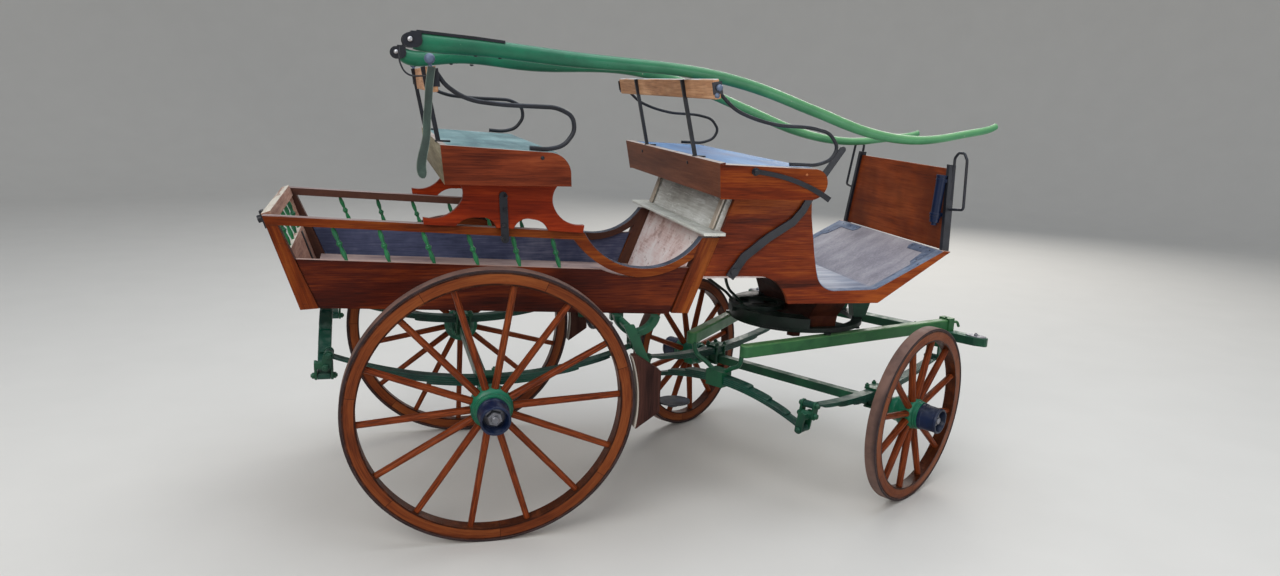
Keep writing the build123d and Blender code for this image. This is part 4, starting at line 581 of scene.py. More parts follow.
def leather():
    g = Graph("strap_leather")
    n = g.noise(g.xyz, 420, 4, 0.6)
    w = g.noise(g.xyz, 16, 4, 0.6)
    c = g.ramp(g.math("MULTIPLY_ADD", n, 0.3, g.math("MULTIPLY", w, 0.7)), (0.35, srgb(26, 40, 36)), (0.55, srgb(42, 62, 55)), (0.75, srgb(72, 94, 84)))
    e = g.edge(0.002)
    c = g.mix(g.math("MULTIPLY", e, 0.5), c, srgb(140, 150, 140))
    return g.finish(c, g.lerp(n, 0.45, 0.62), g.bump(n, 0.0004), coat=0.1, coat_rough=0.3)


M["leather"] = leather()


def felt():
    g = Graph("brake_pad")
    n = g.noise(g.xyz, 300, 4, 0.6)
    c = g.mix(n, srgb(196, 190, 180), srgb(150, 140, 128))
    return g.finish(c, 0.9, g.bump(n, 0.0008))


M["pad"] = felt()


# Wheels: the felloes' grain runs round the rim, with a joint between each pair of spokes
class Wheel:
    def __init__(self, name, turned, side, radius, spokes, camber, phase):
        self.name, self.side, self.radius, self.spokes, self.phase = name, side, radius, spokes, math.radians(phase)
        c = math.radians(camber)
        z = radius * math.cos(c) + 23.0 * math.sin(c)
        place, way = (fore, fore_way) if turned else (body, body_way)
        self.at = place(0, side * 602.0, z)
        self.axle = way(0, side * math.cos(c), -math.sin(c))
        self.ex = way(1, 0, 0)
        self.ey = self.axle.cross(self.ex)
        self.rim_out = (radius - 9.0) / 1000
        self.rim_in = (radius - 53.0) / 1000


WHEELS = [Wheel("rear_wheel_right", False, -1, 500.0, 14, 5.0, 4.4), Wheel("rear_wheel_left", False, 1, 500.0, 14, 5.0, 14.2),
          Wheel("front_wheel_right", True, -1, 357.0, 12, 2.2, 19.7), Wheel("front_wheel_left", True, 1, 357.0, 12, 2.2, 22.7)]


def wheel_wood(w):
    g = Graph(w.name + "_wood")
    u, v, out = g.local(w.at, w.ex, w.ey, w.axle)
    r = g.math("SQRT", g.math("ADD", g.math("MULTIPLY", u, u), g.math("MULTIPLY", v, v)))
    # angle from one of the felloe joints, which stand midway between two spokes
    step = 2 * math.pi / w.spokes
    ang = g.math("SUBTRACT", g.math("ARCTAN2", v, u), w.phase + step / 2)
    ang = g.math("SUBTRACT", ang, g.math("MULTIPLY", g.math("FLOOR", g.math("DIVIDE", ang, 2 * math.pi)), 2 * math.pi))
    rim = g.step(r, w.rim_in - 0.0015, w.rim_in + 0.0005)
    idx = g.math("FLOOR", g.math("DIVIDE", ang, step))
    off = g.math("MULTIPLY", g.math("SUBTRACT", g.math("SUBTRACT", g.math("DIVIDE", ang, step), idx), 0.5), step)
    spoke_q = g.join(r, g.math("MULTIPLY", off, r), g.math("ADD", out, g.math("MULTIPLY", idx, 0.37)))
    fel = 2 * step
    fidx = g.math("FLOOR", g.math("DIVIDE", ang, fel))
    rim_q = g.join(g.math("MULTIPLY", ang, w.radius / 1000), r, g.math("ADD", out, g.math("MULTIPLY", fidx, 0.53)))
    a, b = grain_of(g, spoke_q, 1.6), grain_of(g, rim_q, 1.2, 5.0)
    wide, fine = g.lerp(rim, a[0], b[0]), g.lerp(rim, a[1], b[1])
    part = g.math("SUBTRACT", g.math("DIVIDE", ang, fel), fidx)
    near = g.math("MINIMUM", part, g.math("SUBTRACT", 1.0, part))
    joint = g.math("MULTIPLY", g.step(g.math("MULTIPLY", near, fel * w.radius / 1000), 0.0016, 0.0006), rim)
    each = g.noise(g.join(g.math("MULTIPLY", fidx, 7.3), 0.5, 0.5), 1.0, 1, 0.5)

    def extra(g, colour, rough, q):
        redder = g.mix(0.62, colour, g.mix(g.step(fine, 0.38, 0.62), srgb(62, 22, 12), srgb(134, 56, 26)))
        colour = g.mix(rim, redder, colour)
        colour = g.mix(g.math("MULTIPLY", g.math("MULTIPLY", each, rim), 0.45), colour, srgb(80, 38, 24))
        colour = g.mix(g.math("MULTIPLY", joint, 0.75), colour, srgb(30, 14, 10))
        # Darker bands along the felloe's inner edge and against the tyre: painted shade.
        band = g.math("MAXIMUM", g.step(r, w.rim_in + 0.0075, w.rim_in + 0.0045), g.step(r, w.rim_out - 0.0075, w.rim_out - 0.0045))
        band = g.math("MULTIPLY", g.math("MULTIPLY", band, rim), g.step(g.noise(g.xyz, 21, 4, 0.6), 0.30, 0.55, 0.45, 0.95))
        colour = g.mix(band, colour, srgb(38, 17, 10))
        grime = g.math("MULTIPLY", g.step(r, w.rim_out - 0.008, w.rim_out), g.step(g.noise(g.xyz, 30, 4, 0.6), 0.35, 0.6))
        colour = g.mix(g.math("MULTIPLY", grime, 0.6), colour, srgb(62, 42, 38))
        return colour, g.lerp(grime, rough, 0.7)
    return varnished(w.name + "_wood", *deep((srgb(192, 116, 70), srgb(160, 86, 50), srgb(92, 42, 24)), 0.56, 0.48, 0.34), q=rim_q, g=g, wide_fine=(wide, fine), shade=0.25, rough=0.36, coat=0.18, extra=extra, worn=0.4)


for w in WHEELS:
    M[w.name] = wheel_wood(w)

# ---------------------------------------------------------------------------
# CAD nodes keep their shapes; each gets its finish, and those listed in EASE slightly eased edges
LOOKS = {
    "side_panels": "panel", "rail_frame_right": "rail", "rail_frame_left": "rail", "boot_side_right": "boot", "boot_side_left": "boot",
    "boot_rear_panel": "bulk", "ledge": "ledge", "footboard": "foot", "dashboard": "dash", "front_seat": "fseat", "front_seat_top": "fseat_top",
    "front_seat_back": "back", "rear_seat": "rseat", "rear_seat_top": "rseat_top", "rear_seat_back": "back", "trestles": "trestle", "tailboard": "tail",
    "tailboard_spindles": "spindle", "spindles": "spindle", "body_floor": "floor", "transom": "transom", "brake_blocks": "block",
    "rear_axle": "gear", "front_axle": "gear", "futchells": "futchell", "splinter_bar": "gear", "front_shackles": "gear", "rear_shackles": "gear",
    "shaft_couplings": "futchell", "spring_brackets": "gear", "turntable_bracket": "gear", "turntable_lower_ring": "ring", "turntable_upper_ring": "ring",
    "rear_springs": "spring", "front_springs": "spring", "rear_cross_spring": "spring", "front_cross_spring": "spring",
    "shaft_right": "shaft", "shaft_left": "shaft", "shaft_irons": "black", "dash_irons": "black", "whip_socket": "cap",
    "front_seat_irons": "black", "rear_seat_irons": "black", "tailboard_irons": "black", "brake_lever": "black", "brake_shaft": "gear", "steps": "black",
}
EASE = {"side_panels": 1.5, "rail_frame_right": 2.0, "rail_frame_left": 2.0, "boot_side_right": 1.5, "boot_side_left": 1.5, "boot_rear_panel": 1.2, "ledge": 3.0,
        "dashboard": 2.0, "front_seat": 1.5, "front_seat_top": 2.5, "rear_seat": 1.5, "rear_seat_top": 2.5, "front_seat_back": 4.0, "rear_seat_back": 4.0,
        "trestles": 2.0, "tailboard": 2.0, "transom": 2.0, "brake_blocks": 2.0, "splinter_bar": 3.0, "futchells": 3.0, "turntable_bracket": 2.5,
        "spring_brackets": 2.0, "rear_shackles": 2.0, "front_shackles": 2.0, "shaft_couplings": 2.0, "brake_lever": 1.5, "steps": 1.0, "dash_irons": 1.2}
for name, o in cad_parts.items():
    look = LOOKS.get(name)
    if look is None:
        look = name.rsplit("_", 1)[0] if name.endswith("_spokes") else ("fore_tyre" if name.startswith("front") else "tyre") if name.endswith("_tyre") else "nave"
    o.data.materials.clear()
    o.data.materials.append(M[look])
    if name in EASE:
        weld = o.modifiers.new("weld", "WELD")
        weld.merge_threshold = 0.00002
        ease = o.modifiers.new("ease", "BEVEL")
        ease.width = EASE[name] / 1000
        ease.segments = 2
        ease.limit_method = "ANGLE"
        ease.angle_limit = math.radians(38)
        ease.use_clamp_overlap = True
        ease.harden_normals = True


# ---------------------------------------------------------------------------
# Small shapes, gathered into one piece for each body and finish
class Kit:
    def __init__(self, name, rides, look, sharp=38.0):
        self.name, self.rides, self.look, self.sharp = name, rides, look, sharp
        self.bm = bmesh.new()

    def take(self, other):
        me = bpy.data.meshes.new("part")
        other.to_mesh(me)
        other.free()
        self.bm.from_mesh(me)
        bpy.data.meshes.remove(me)

    def lathe(self, at, axis, steps, seg=24, spin=0.0):
        """A turned shape: steps are (along the axis, radius) in millimetres."""
        axis = Vector(axis).normalized()
        a = axis.orthogonal().normalized()
        b = axis.cross(a)
        rings = []
        for along, radius in steps:
            centre = at + axis * along / 1000
            if radius < 1e-6:
                rings.append([self.bm.verts.new(centre)])
            else:
                rings.append([self.bm.verts.new(centre + (a * math.cos(t) + b * math.sin(t)) * radius / 1000) for t in (spin + 2 * math.pi * i / seg for i in range(seg))])
        for p, q in zip(rings, rings[1:]):
            for i in range(seg):
                j = (i + 1) % seg
                if len(p) == 1:
                    self.bm.faces.new((p[0], q[i], q[j]))
                elif len(q) == 1:
                    self.bm.faces.new((p[i], p[j], q[0]))
                else:
                    self.bm.faces.new((p[i], p[j], q[j], q[i]))
        if len(rings[0]) > 1:
            self.bm.faces.new(list(reversed(rings[0])))
        if len(rings[-1]) > 1:
            self.bm.faces.new(rings[-1])

    def dome(self, at, axis, r=8.0, h=5.0, seg=16):
        self.lathe(at, axis, [(-2, r), (h * 0.25, r), (h * 0.62, r * 0.82), (h * 0.88, r * 0.5), (h, 0)], seg)

    def nut(self, at, axis, r=10.0, h=7.0, stud=True):
        axis = Vector(axis).normalized()
        self.lathe(at, axis, [(-2, r * 0.9), (0.8, r), (h * 0.78, r), (h, r * 0.86)], 6)
        if stud:
            self.lathe(at + axis * h / 1000, axis, [(-1, r * 0.5), (h * 0.45, r * 0.5), (h * 0.6, r * 0.4)], 12)

    def tube(self, points, r, seg=10, ends=True, smooth=8, closed=False, flat=1.0):
        """A round bar along a smooth line through the points."""
        pts = [Vector(p) for p in points]
        line = []
        if smooth > 1 and len(pts) > 2:
            ext = [pts[0] * 2 - pts[1]] + pts + [pts[-1] * 2 - pts[-2]]
            for i in range(1, len(ext) - 2):
                p0, p1, p2, p3 = ext[i - 1:i + 3]
                for k in range(smooth):
                    t = k / smooth
                    line.append(0.5 * ((2 * p1) + (-p0 + p2) * t + (2 * p0 - 5 * p1 + 4 * p2 - p3) * t * t + (-p0 + 3 * p1 - 3 * p2 + p3) * t ** 3))
            line.append(pts[-1])
        else:
            line = pts
        radius = r if callable(r) else (lambda s: r)
        n = (line[1] - line[0]).orthogonal().normalized()
        rings = []
        for i, p in enumerate(line):
            t = (line[min(i + 1, len(line) - 1)] - line[max(i - 1, 0)]).normalized()
            n = (n - t * n.dot(t)).normalized()
            b = t.cross(n)
            rr = radius(i / (len(line) - 1)) / 1000
            rings.append([self.bm.verts.new(p + (n * math.cos(a) + b * math.sin(a) * flat) * rr) for a in (2 * math.pi * k / seg for k in range(seg))])
        for p, q in zip(rings, rings[1:]):
            for i in range(seg):
                j = (i + 1) % seg
                self.bm.faces.new((p[i], p[j], q[j], q[i]))
        self.bm.faces.new(list(reversed(rings[0])))
        self.bm.faces.new(rings[-1])

    def slab(self, at, ex, ey, size, ease=1.0):
        """A block with eased edges, `size` in millimetres along ex, ey and their cross."""
        ex, ey = Vector(ex).normalized(), Vector(ey).normalized()
        ez = ex.cross(ey).normalized()
        bm = bmesh.new()
        bmesh.ops.create_cube(bm, size=1.0)
        for v in bm.verts:
            c = v.co.copy()
            v.co = at + (ex * c.x * size[0] + ey * c.y * size[1] + ez * c.z * size[2]) / 1000
        if ease > 0:
            bmesh.ops.bevel(bm, geom=bm.edges[:], offset=ease / 1000, segments=2, profile=0.7, affect="EDGES", clamp_overlap=True)
        self.take(bm)

    def outline(self, points, thick, ease=0.8):
        """A flat plate: the points of its face in order, and the way it is thick."""
        bm = bmesh.new()
        low = [bm.verts.new(p) for p in points]
        high = [bm.verts.new(Vector(p) + Vector(thick)) for p in points]
        n = len(points)
        bm.faces.new(low)
        bm.faces.new(list(reversed(high)))
        for i in range(n):
            j = (i + 1) % n
            bm.faces.new((low[j], low[i], high[i], high[j]))
        bmesh.ops.recalc_face_normals(bm, faces=bm.faces[:])
        if ease > 0:
            bmesh.ops.bevel(bm, geom=[e for e in bm.edges if e.calc_face_angle(0) > 0.6], offset=ease / 1000, segments=2, profile=0.7, affect="EDGES", clamp_overlap=True)
        self.take(bm)

    def ribbon(self, line, side, width, thick, lift=0.0, ease=0.0):
        """A flat strip that follows a line; `side` is the way it is wide, and it lies on its left."""
        side = Vector(side).normalized()
        w = side * width / 2000
        rings = []
        for i, p in enumerate(line):
            t = (line[min(i + 1, len(line) - 1)] - line[max(i - 1, 0)]).normalized()
            n = side.cross(t).normalized()
            if n.z < 0 and abs(n.z) > 0.05:
                n = -n
            a, b = n * lift / 1000, n * (lift + thick) / 1000
            e = side * min(ease, width / 4) / 1000
            m = n * (lift + thick * 0.5) / 1000
            rings.append([self.bm.verts.new(v) for v in (p - w + a, p + w + a, p + w + m, p + w - e + b, p - w + e + b, p - w + m)])
        k = 6
        for p, q in zip(rings, rings[1:]):
            for i in range(k):
                j = (i + 1) % k
                self.bm.faces.new((p[i], p[j], q[j], q[i]))
        self.bm.faces.new(list(reversed(rings[0])))
        self.bm.faces.new(rings[-1])

    def done(self, replaces=()):
        bmesh.ops.recalc_face_normals(self.bm, faces=self.bm.faces[:])
        me = bpy.data.meshes.new(self.name)
        self.bm.to_mesh(me)
        self.bm.free()
        me.shade_smooth()
        me.set_sharp_from_angle(angle=math.radians(self.sharp))
        me.materials.append(M[self.look])
        o = bpy.data.objects.new(self.name, me)
        bpy.context.scene.collection.objects.link(o)
        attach(o, self.rides)
        if replaces:
            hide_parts(*replaces)
        return o


def arc3(a, b, c, n=16):
    """Points of the circular arc through three (x, z) places."""
    (ax, ay), (bx, by), (cx, cy) = a, b, c
    d = 2 * (ax * (by - cy) + bx * (cy - ay) + cx * (ay - by))
    ux = ((ax ** 2 + ay ** 2) * (by - cy) + (bx ** 2 + by ** 2) * (cy - ay) + (cx ** 2 + cy ** 2) * (ay - by)) / d
    uy = ((ax ** 2 + ay ** 2) * (cx - bx) + (bx ** 2 + by ** 2) * (ax - cx) + (cx ** 2 + cy ** 2) * (bx - ax)) / d
    r = math.hypot(ax - ux, ay - uy)
    t0, t1, t2 = (math.atan2(p[1] - uy, p[0] - ux) for p in (a, b, c))
    full = (t2 - t0) % (2 * math.pi)
    if (t1 - t0) % (2 * math.pi) > full:
        full -= 2 * math.pi
    return [(ux + r * math.cos(t0 + full * i / n), uy + r * math.sin(t0 + full * i / n)) for i in range(n + 1)]


# Wheels: rounded iron tyre, turned nave, open cap with the axle nut inside
NAVES = {
    "rear": [(-96, 40), (-96, 45), (-94, 47), (-86, 49), (-85, 52), (-72, 54.5), (-70, 53), (-62, 57), (-54, 66), (-51, 71), (-46, 73.6), (-30, 74), (-6, 74), (0, 73.6), (5, 71), (9, 66), (12, 62.5), (13, 63.6), (18, 63.6), (19, 61), (24, 60), (25, 60.8), (30, 60), (31, 56)],
    "front": [(-96, 38), (-96, 43), (-94, 45), (-86, 47), (-85, 50), (-72, 52), (-70, 51), (-62, 54), (-54, 59), (-50, 61.6), (-30, 62), (-4, 62), (2, 61), (6, 58.6), (9, 56.4), (10, 57.4), (16, 57.4), (17, 55.6), (22, 55), (23, 56), (28, 55.6), (29, 53)],
}
CAPS = {
    "rear": [(30, 20), (30, 54), (34, 55), (44, 54.6), (46, 52.6), (92, 50.4), (94, 52.4), (101, 52.4), (104, 50.6), (104, 45), (102, 43.4), (70, 42.4), (66, 40), (66, 0)],
    "front": [(28, 20), (28, 52), (32, 53), (42, 52.4), (44, 50.6), (96, 48.6), (98, 50.4), (105, 50.4), (108, 48.6), (108, 43), (106, 41.6), (74, 40.6), (70, 38), (70, 0)],
}
for w in WHEELS:
    kind = w.name.split("_")[0]
    k = Kit(w.name + "_nave", w.name, "nave")
    k.lathe(w.at, w.axle, NAVES[kind] + [(30 if kind == "rear" else 28, 30), (-90, 22)], 48)
    k.done([w.name + "_hub"])
    k = Kit(w.name + "_nave_cap", w.name, "cap")
    k.lathe(w.at, w.axle, CAPS[kind], 48)
    k.done()
    k = Kit(w.name + "_axle_nut", w.name, "steel")
    deep = CAPS[kind][-1][0]
    k.lathe(w.at + w.axle * deep / 1000, w.axle, [(-2, 34), (2, 34), (3, 32)], 24)
    k.nut(w.at + w.axle * (deep + 3) / 1000, w.axle, 28, 18)
    k.done()
    k = Kit(w.name + "_tyre_band", w.name, "tyre", 50)
    ro, ri, h = w.radius, w.radius - 9.0, 23.0
    seg = 160
    prof = [(-h + 1.2, ri), (-h, ri + 1.2), (-h, ro - 2.6), (-h + 0.9, ro - 0.8), (-h + 2.8, ro - 0.1), (0, ro), (h - 2.8, ro - 0.1), (h - 0.9, ro - 0.8), (h, ro - 2.6), (h, ri + 1.2), (h - 1.2, ri)]
    rings = []
    for i in range(seg):
        t = 2 * math.pi * i / seg
        d = w.ex * math.cos(t) + w.ey * math.sin(t)
        rings.append([k.bm.verts.new(w.at + d * rr / 1000 + w.axle * a / 1000) for a, rr in prof])
    for i in range(seg):
        p, q = rings[i], rings[(i + 1) % seg]
        for j in range(len(prof)):
            m = (j + 1) % len(prof)
            k.bm.faces.new((p[j], p[m], q[m], q[j]))
    k.done([w.name + "_tyre"])

# Turned spindles
SPINDLE = [(0, 5), (0.05, 5.4), (0.10, 6.6), (0.17, 8.2), (0.24, 8.4), (0.32, 7.2), (0.39, 5.6), (0.42, 5.4), (0.435, 8), (0.45, 8.4), (0.46, 7.6), (0.47, 9.6), (0.49, 10.8), (0.51, 10.8), (0.53, 9.6), (0.54, 7.6), (0.55, 8.4), (0.565, 8), (0.58, 5.4), (0.61, 5.6), (0.68, 7.2), (0.76, 8.4), (0.83, 8.2), (0.90, 6.6), (0.95, 5.4), (1.0, 5)]
k = Kit("turned_spindles", "carriage", "spindle", 60)
for side in (-1, 1):
    for top, foot in ((-512, -466), (-362, -328), (-220, -178), (-68, -30), (86, 116), (226, 258)):
        a = body(foot, side * 422, fall(PANEL_TOP, foot) - 3)
        b = body(top, side * 422, fall(RAIL_BOT, top) + 3)
        n = (b - a).length * 1000
        k.lathe(a, b - a, [(s * n, r) for s, r in SPINDLE], 20)
k.done(["spindles"])
LEAN = math.atan2(108, 315)
tail_up = Vector((-math.sin(LEAN), 0, math.cos(LEAN)))
tail_out = Vector((-math.cos(LEAN), 0, -math.sin(LEAN)))


def tail(across, high, out):
    return body(-600, -across, 824) + (tail_up * high + tail_out * out) / 1000


k = Kit("turned_tailboard_spindles", "tailboard", "spindle", 60)
for across in (-290, -145, 0, 145, 290):
    a, b = tail(across, 176, 9), tail(across, 298, 9)
    n = (b - a).length * 1000
    k.lathe(a, b - a, [(s * n, r) for s, r in SPINDLE], 20)
k.done(["tailboard_spindles"])

# Leaf springs: four leaves in each pack, clamped in the middle
LEAF_T, SPRING_W = 8.0, 44.0


def spring_pack(kit, kind, place, level, half, rise, at, way):
    """Each leaf is its own curved strip, a hair apart from the next."""
    sign = 1 if kind == "side" else -1
    bow = (half ** 2 + rise ** 2) / (2 * rise)

    def spot(u, h, across):
        return at(u, place + across, level + h) if kind == "side" else at(place + across, u, level + h)
    for share, order in ((1.0, 0), (0.82, 1), (0.60, 2), (0.38, 3)):
        turn_h = math.atan2(half, bow - rise) * share
        n = 40
        w = SPRING_W / 2
        gap = 0.5
        rows = []
        for i in range(n + 1):
            t = -turn_h + 2 * turn_h * i / n
            end = min(i, n - i)
            wide = w * (1.0 if order == 0 or end > 1 else (0.72 if end == 0 else 0.93))
            ri, ro = bow + order * LEAF_T + gap / 2, bow + (order + 1) * LEAF_T - gap / 2
            c = [(ri, -wide + 1), (ri, wide - 1), (ri + 1, wide), (ro - 1, wide), (ro, wide - 1), (ro, -wide + 1), (ro - 1, -wide), (ri + 1, -wide)]
            rows.append([kit.bm.verts.new(spot(r * math.sin(t), sign * (bow - r * math.cos(t)), a)) for r, a in c])
        for p, q in zip(rows, rows[1:]):
            for j in range(8):
                m = (j + 1) % 8
                kit.bm.faces.new((p[j], p[m], q[m], q[j]))
        kit.bm.faces.new(rows[0])
        kit.bm.faces.new(rows[-1])
    for end in (-1, 1):
        a = spot(end * half, sign * rise, -SPRING_W / 2)
        b = spot(end * half, sign * rise, SPRING_W / 2)
        kit.lathe(a, b - a, [(0.5, 12.6), (1.5, 13.8), (SPRING_W - 1.5, 13.8), (SPRING_W - 0.5, 12.6)], 28)


SIDE = [("rear_springs", body, body_way, 455.0, 575.0, 530.0, 98.0, "carriage", 529.0), ("front_springs", fore, fore_way, 420.0, 420.0, 508.0, 43.0, "fore_carriage", 380.0)]
for name, at, way, place, level, half, rise, rides, low in SIDE:
    k = Kit(name + "_leaves", rides, "spring")
    g2 = Kit(name + "_clamps", rides, "gear")
    for side in (-1, 1):
        spring_pack(k, "side", side * place, level, half, rise, at, way)
        ex, ey, ez = way(1, 0, 0), way(0, 1, 0), Vector((0, 0, 1))
        # block on the axle, top plate, and two bows of round bar with their nuts
        g2.slab(at(0, side * place, (low + level - 30) / 2), ex, ey, (64, 52, level - 30 - low + 2), 2.5)
        g2.slab(at(0, side * place, level + 4), ex, ey, (84, 64, 10), 2.5)
        for u in (-28, 28):
            for v in (-27, 27):
                g2.lathe(at(u, side * place + v, low - 34), ez, [(0, 5.5), (level + 20 - low + 34, 5.5), (level + 22 - low + 34, 4.4)], 12)
                g2.nut(at(u, side * place + v, level + 9), ez, 9.5, 8, stud=False)
            g2.slab(at(u, side * place, low - 37), ex, ey, (14, 66, 7), 2.0)
    k.done()
    g2.done([name])
CROSS = [("rear_cross_spring", body, body_way, -548.0, 756.0, 430.0, 166.0, "carriage"), ("front_cross_spring", fore, fore_way, -524.0, 452.0, 407.0, 83.0, "fore_carriage")]
for name, at, way, place, level, half, rise, rides in CROSS:
    k = Kit(name + "_leaves", rides, "spring")
    spring_pack(k, "cross", place, level, half, rise, at, way)
    k.done([name])
k = Kit("rear_cross_spring_clamps", "carriage", "gear")
for y in (-36, 36):
    for x in (-575, -521):
        k.lathe(body(x, y, 742), (0, 0, 1), [(0, 5.5), (70, 5.5)], 12)
        k.nut(body(x, y, 745), (0, 0, -1), 9.5, 8)
    k.slab(body(-548, y, 749), (1, 0, 0), (0, 1, 0), (68, 20, 7), 2)
k.done()

# Floor boards of the rear body, side by side
k = Kit("floor_planks", "carriage", "floor", 30)
count, lo_y, hi_y = 5, -397.0, 397.0
for i in range(count):
    a = lo_y + (hi_y - lo_y) * i / count + 1.2
    b = lo_y + (hi_y - lo_y) * (i + 1) / count - 1.2
    dz = random.uniform(-0.8, 0.6)
    x0, x1 = -590 + random.uniform(0, 2), 727.0
    z0, z1 = fall(BOTTOM, x0), fall(BOTTOM, x1)
    ex = body_way(x1 - x0, 0, z1 - z0)
    k.slab(body((x0 + x1) / 2, (a + b) / 2, (z0 + z1) / 2 + 29.5 + dz), ex, (0, 1, 0), (math.hypot(x1 - x0, z1 - z0), b - a, 17.0), 1.8)
k.done(["body_floor"])

# Worn metal strips on the stepping-in scoops and on the footboard's side edges
scoop = arc3((339, fall(RAIL_TOP, 339)), (400, 1008), (539, 951), 14) + arc3((539, 951), (688, 977), (783, 1062), 16)[1:]
k = Kit("scoop_strips", "carriage", "dark_strip", 45)
for side in (-1, 1):
    k.ribbon([body(x, side * 419, z) for x, z in scoop], (0, 1, 0), 37, 2.4, -0.2, 1.0)
k.done()
cap = [(1256, 923)] + arc3((1256, 923), (1285, 872), (1345, 853), 10)[1:] + [(1400, 853.6), (1450, 854.2), (1498, 854.8), (1517, 858), (1534, 866), (1600, 899), (1700, 951.5), (1800, 1004)]
k = Kit("footboard_edging", "carriage", "strip", 45)
for side in (-1, 1):
    k.ribbon([body(x, side * 429, z) for x, z in cap], (0, 1, 0), 21, 2.2, -0.3, 1.0)
    k.ribbon([body(x, side * 406, z) for x, z in cap[4:]], (0, 1, 0), 26, 1.6, 0.0, 0.8)
toe = body_way(289, 0, 152)
toe_n = body_way(-152, 0, 289)


def on_toe(x, y, up_mm=0.0):
    return body(x, y, 855 + (x - 1517) * 152 / 289) + toe_n * up_mm / 1000


for side in (-1, 1):
    pts = [(1800, 392), (1800, 222), (1778, 222), (1764, 238), (1764, 350), (1700, 368), (1690, 392)]
    face = [on_toe(x, side * y, 0.2) for x, y in pts]
    k.outline(face if side < 0 else list(reversed(face)), toe_n * 0.0022, 0.6)
k.done()
k = Kit("footboard_screws", "carriage", "black")
for side in (-1, 1):
    for x, y in ((1785, 240), (1785, 300), (1785, 370), (1720, 384)):
        k.dome(on_toe(x, side * y, 2.0), toe_n, 4.2, 1.6, 10)
    for x, z in cap[5::2]:
        if x > 1534:
            k.dome(on_toe(x, side * 429, 2.0), toe_n, 4.0, 1.4, 10)
k.done()

# Edging boards up the sides of the boot's rear panel, over its boards
rise = body_way(58, 0, 166)
face_n = body_way(-166, 0, 58)
k = Kit("boot_rear_edging", "carriage", "edging_wood")
for side in (-1, 1):
    mid = body(847 - 8, side * 398, 1160) + face_n * 0.0
    a, b = body(832, side * 400, 1090), body(880, side * 400, 1226)
    centre = (a + b) / 2
    d = (b - a).normalized()
    n = Vector((-d.z, 0, d.x))
    k.slab(centre + n * 0.0035, d, (0, 1, 0), ((b - a).length * 1000, 34, 7), 1.2)
k.done()

# Fixings on the bodywork
k = Kit("body_bolts", "carriage", "black")
out_r = (0, -1, 0)
for side in (-1, 1):
    # straps that hold the trestles down: bolts, and a rounded end
    for dx, dz, r in ((4.2, 74, 7), (1.6, 28, 7), (-1.5, -26, 7), (-4.0, -70, 9)):
        k.nut(body(52 + dx, side * 467.5, 1137 + dz), (0, side, 0), r, 6)
    k.dome(body(161, side * 575, 1351), (0, side, 0), 6.5, 4)
for x, y, z in ((774, 358, 1320), (774, -269, 1323)):
    k.dome(body(x - 6, y, z), body_way(-122, 0, -18), 7, 4)
k.done()
k = Kit("copper_bolt", "carriage", "copper")
lean_n = Vector((0, -math.cos(math.atan2(23, 122)), -math.sin(math.atan2(23, 122))))
k.dome(body(1094, -621.5, 1316), lean_n, 6, 4)
k.done()
k = Kit("shaft_bolts", "carriage", "bright")
for rear_y, tip_y, drop, slide in ((-405, -295, 0, 0), (330, 240, 23, -23)):
    lead = Vector((2324, tip_y - rear_y, 0)).normalized()
    sidew = Vector((lead.y, -lead.x, 0))
    end = body(-244 + slide, rear_y, 1712 - drop)
    for s in (-1, 1):
        k.dome(end - lead * 0.013 + Vector((0, 0, 0.002)) + sidew * s * 0.034, sidew * s, 8.5, 5, 18)
k.done()
k = Kit("shaft_fixings", "carriage", "black")
for rear_y, tip_y, drop, slide in ((-405, -295, 0, 0), (330, 240, 23, -23)):
    for x, z in ((-124, 1676), (-41, 1671), (41, 1668)):
        y = rear_y + (tip_y - rear_y) * (x + 244) / 2324
        k.dome(body(x + slide, y, z - drop * (1 - (x + 244) / 979) + 2), (0, 0, -1), 8, 5, 14)
k.done()

# Grey plates on the ends of the splinter bar, with a bolt each
k = Kit("splinter_plates", "fore_carriage", "steel")
for side in (-1, 1):
    ring = [fore(545 + 24 * math.cos(t), side * 588 + 46 * math.sin(t), 586) for t in (2 * math.pi * i / 28 for i in range(28))]
    k.outline(ring, Vector((0, 0, 0.004)), 0.8)
    k.nut(fore(545, side * 588, 590), (0, 0, 1), 9, 7)
k.done()
k = Kit("fore_bolts", "fore_carriage", "gear")
for side in (-1, 1):
    for x, y in ((545, 444), (545, 300)):
        k.nut(fore(x, side * y, 586 if y == 300 else 636), (0, 0, 1), 9, 7)
    for x, y, z, off in ((-508, 420, 463, 31), (-516, 420, 425, 31), (508, 420, 463, 30.5)):
        for s in (-1, 1):
            k.nut(fore(x, side * y + s * off, z), fore_way(0, s, 0), 12, 8)
    for s in (-1, 1):
        k.nut(fore(-524 + s * 31, side * 407, 369), fore_way(s, 0, 0), 12, 8)
k.done()
k = Kit("gear_bolts", "carriage", "gear")
for side in (-1, 1):
    for s in (-1, 1):
        k.nut(body(-530, side * 455 + s * 31, 673), (0, s, 0), 12, 8)
        k.nut(body(-540, side * 455 + s * 31, 634), (0, s, 0), 12, 8)
        k.nut(body(-548 + s * 31, side * 430, 590), (s, 0, 0), 12, 8)
        k.nut(body(530, side * 455 + s * 31, 673), (0, s, 0), 12, 8)
k.done()

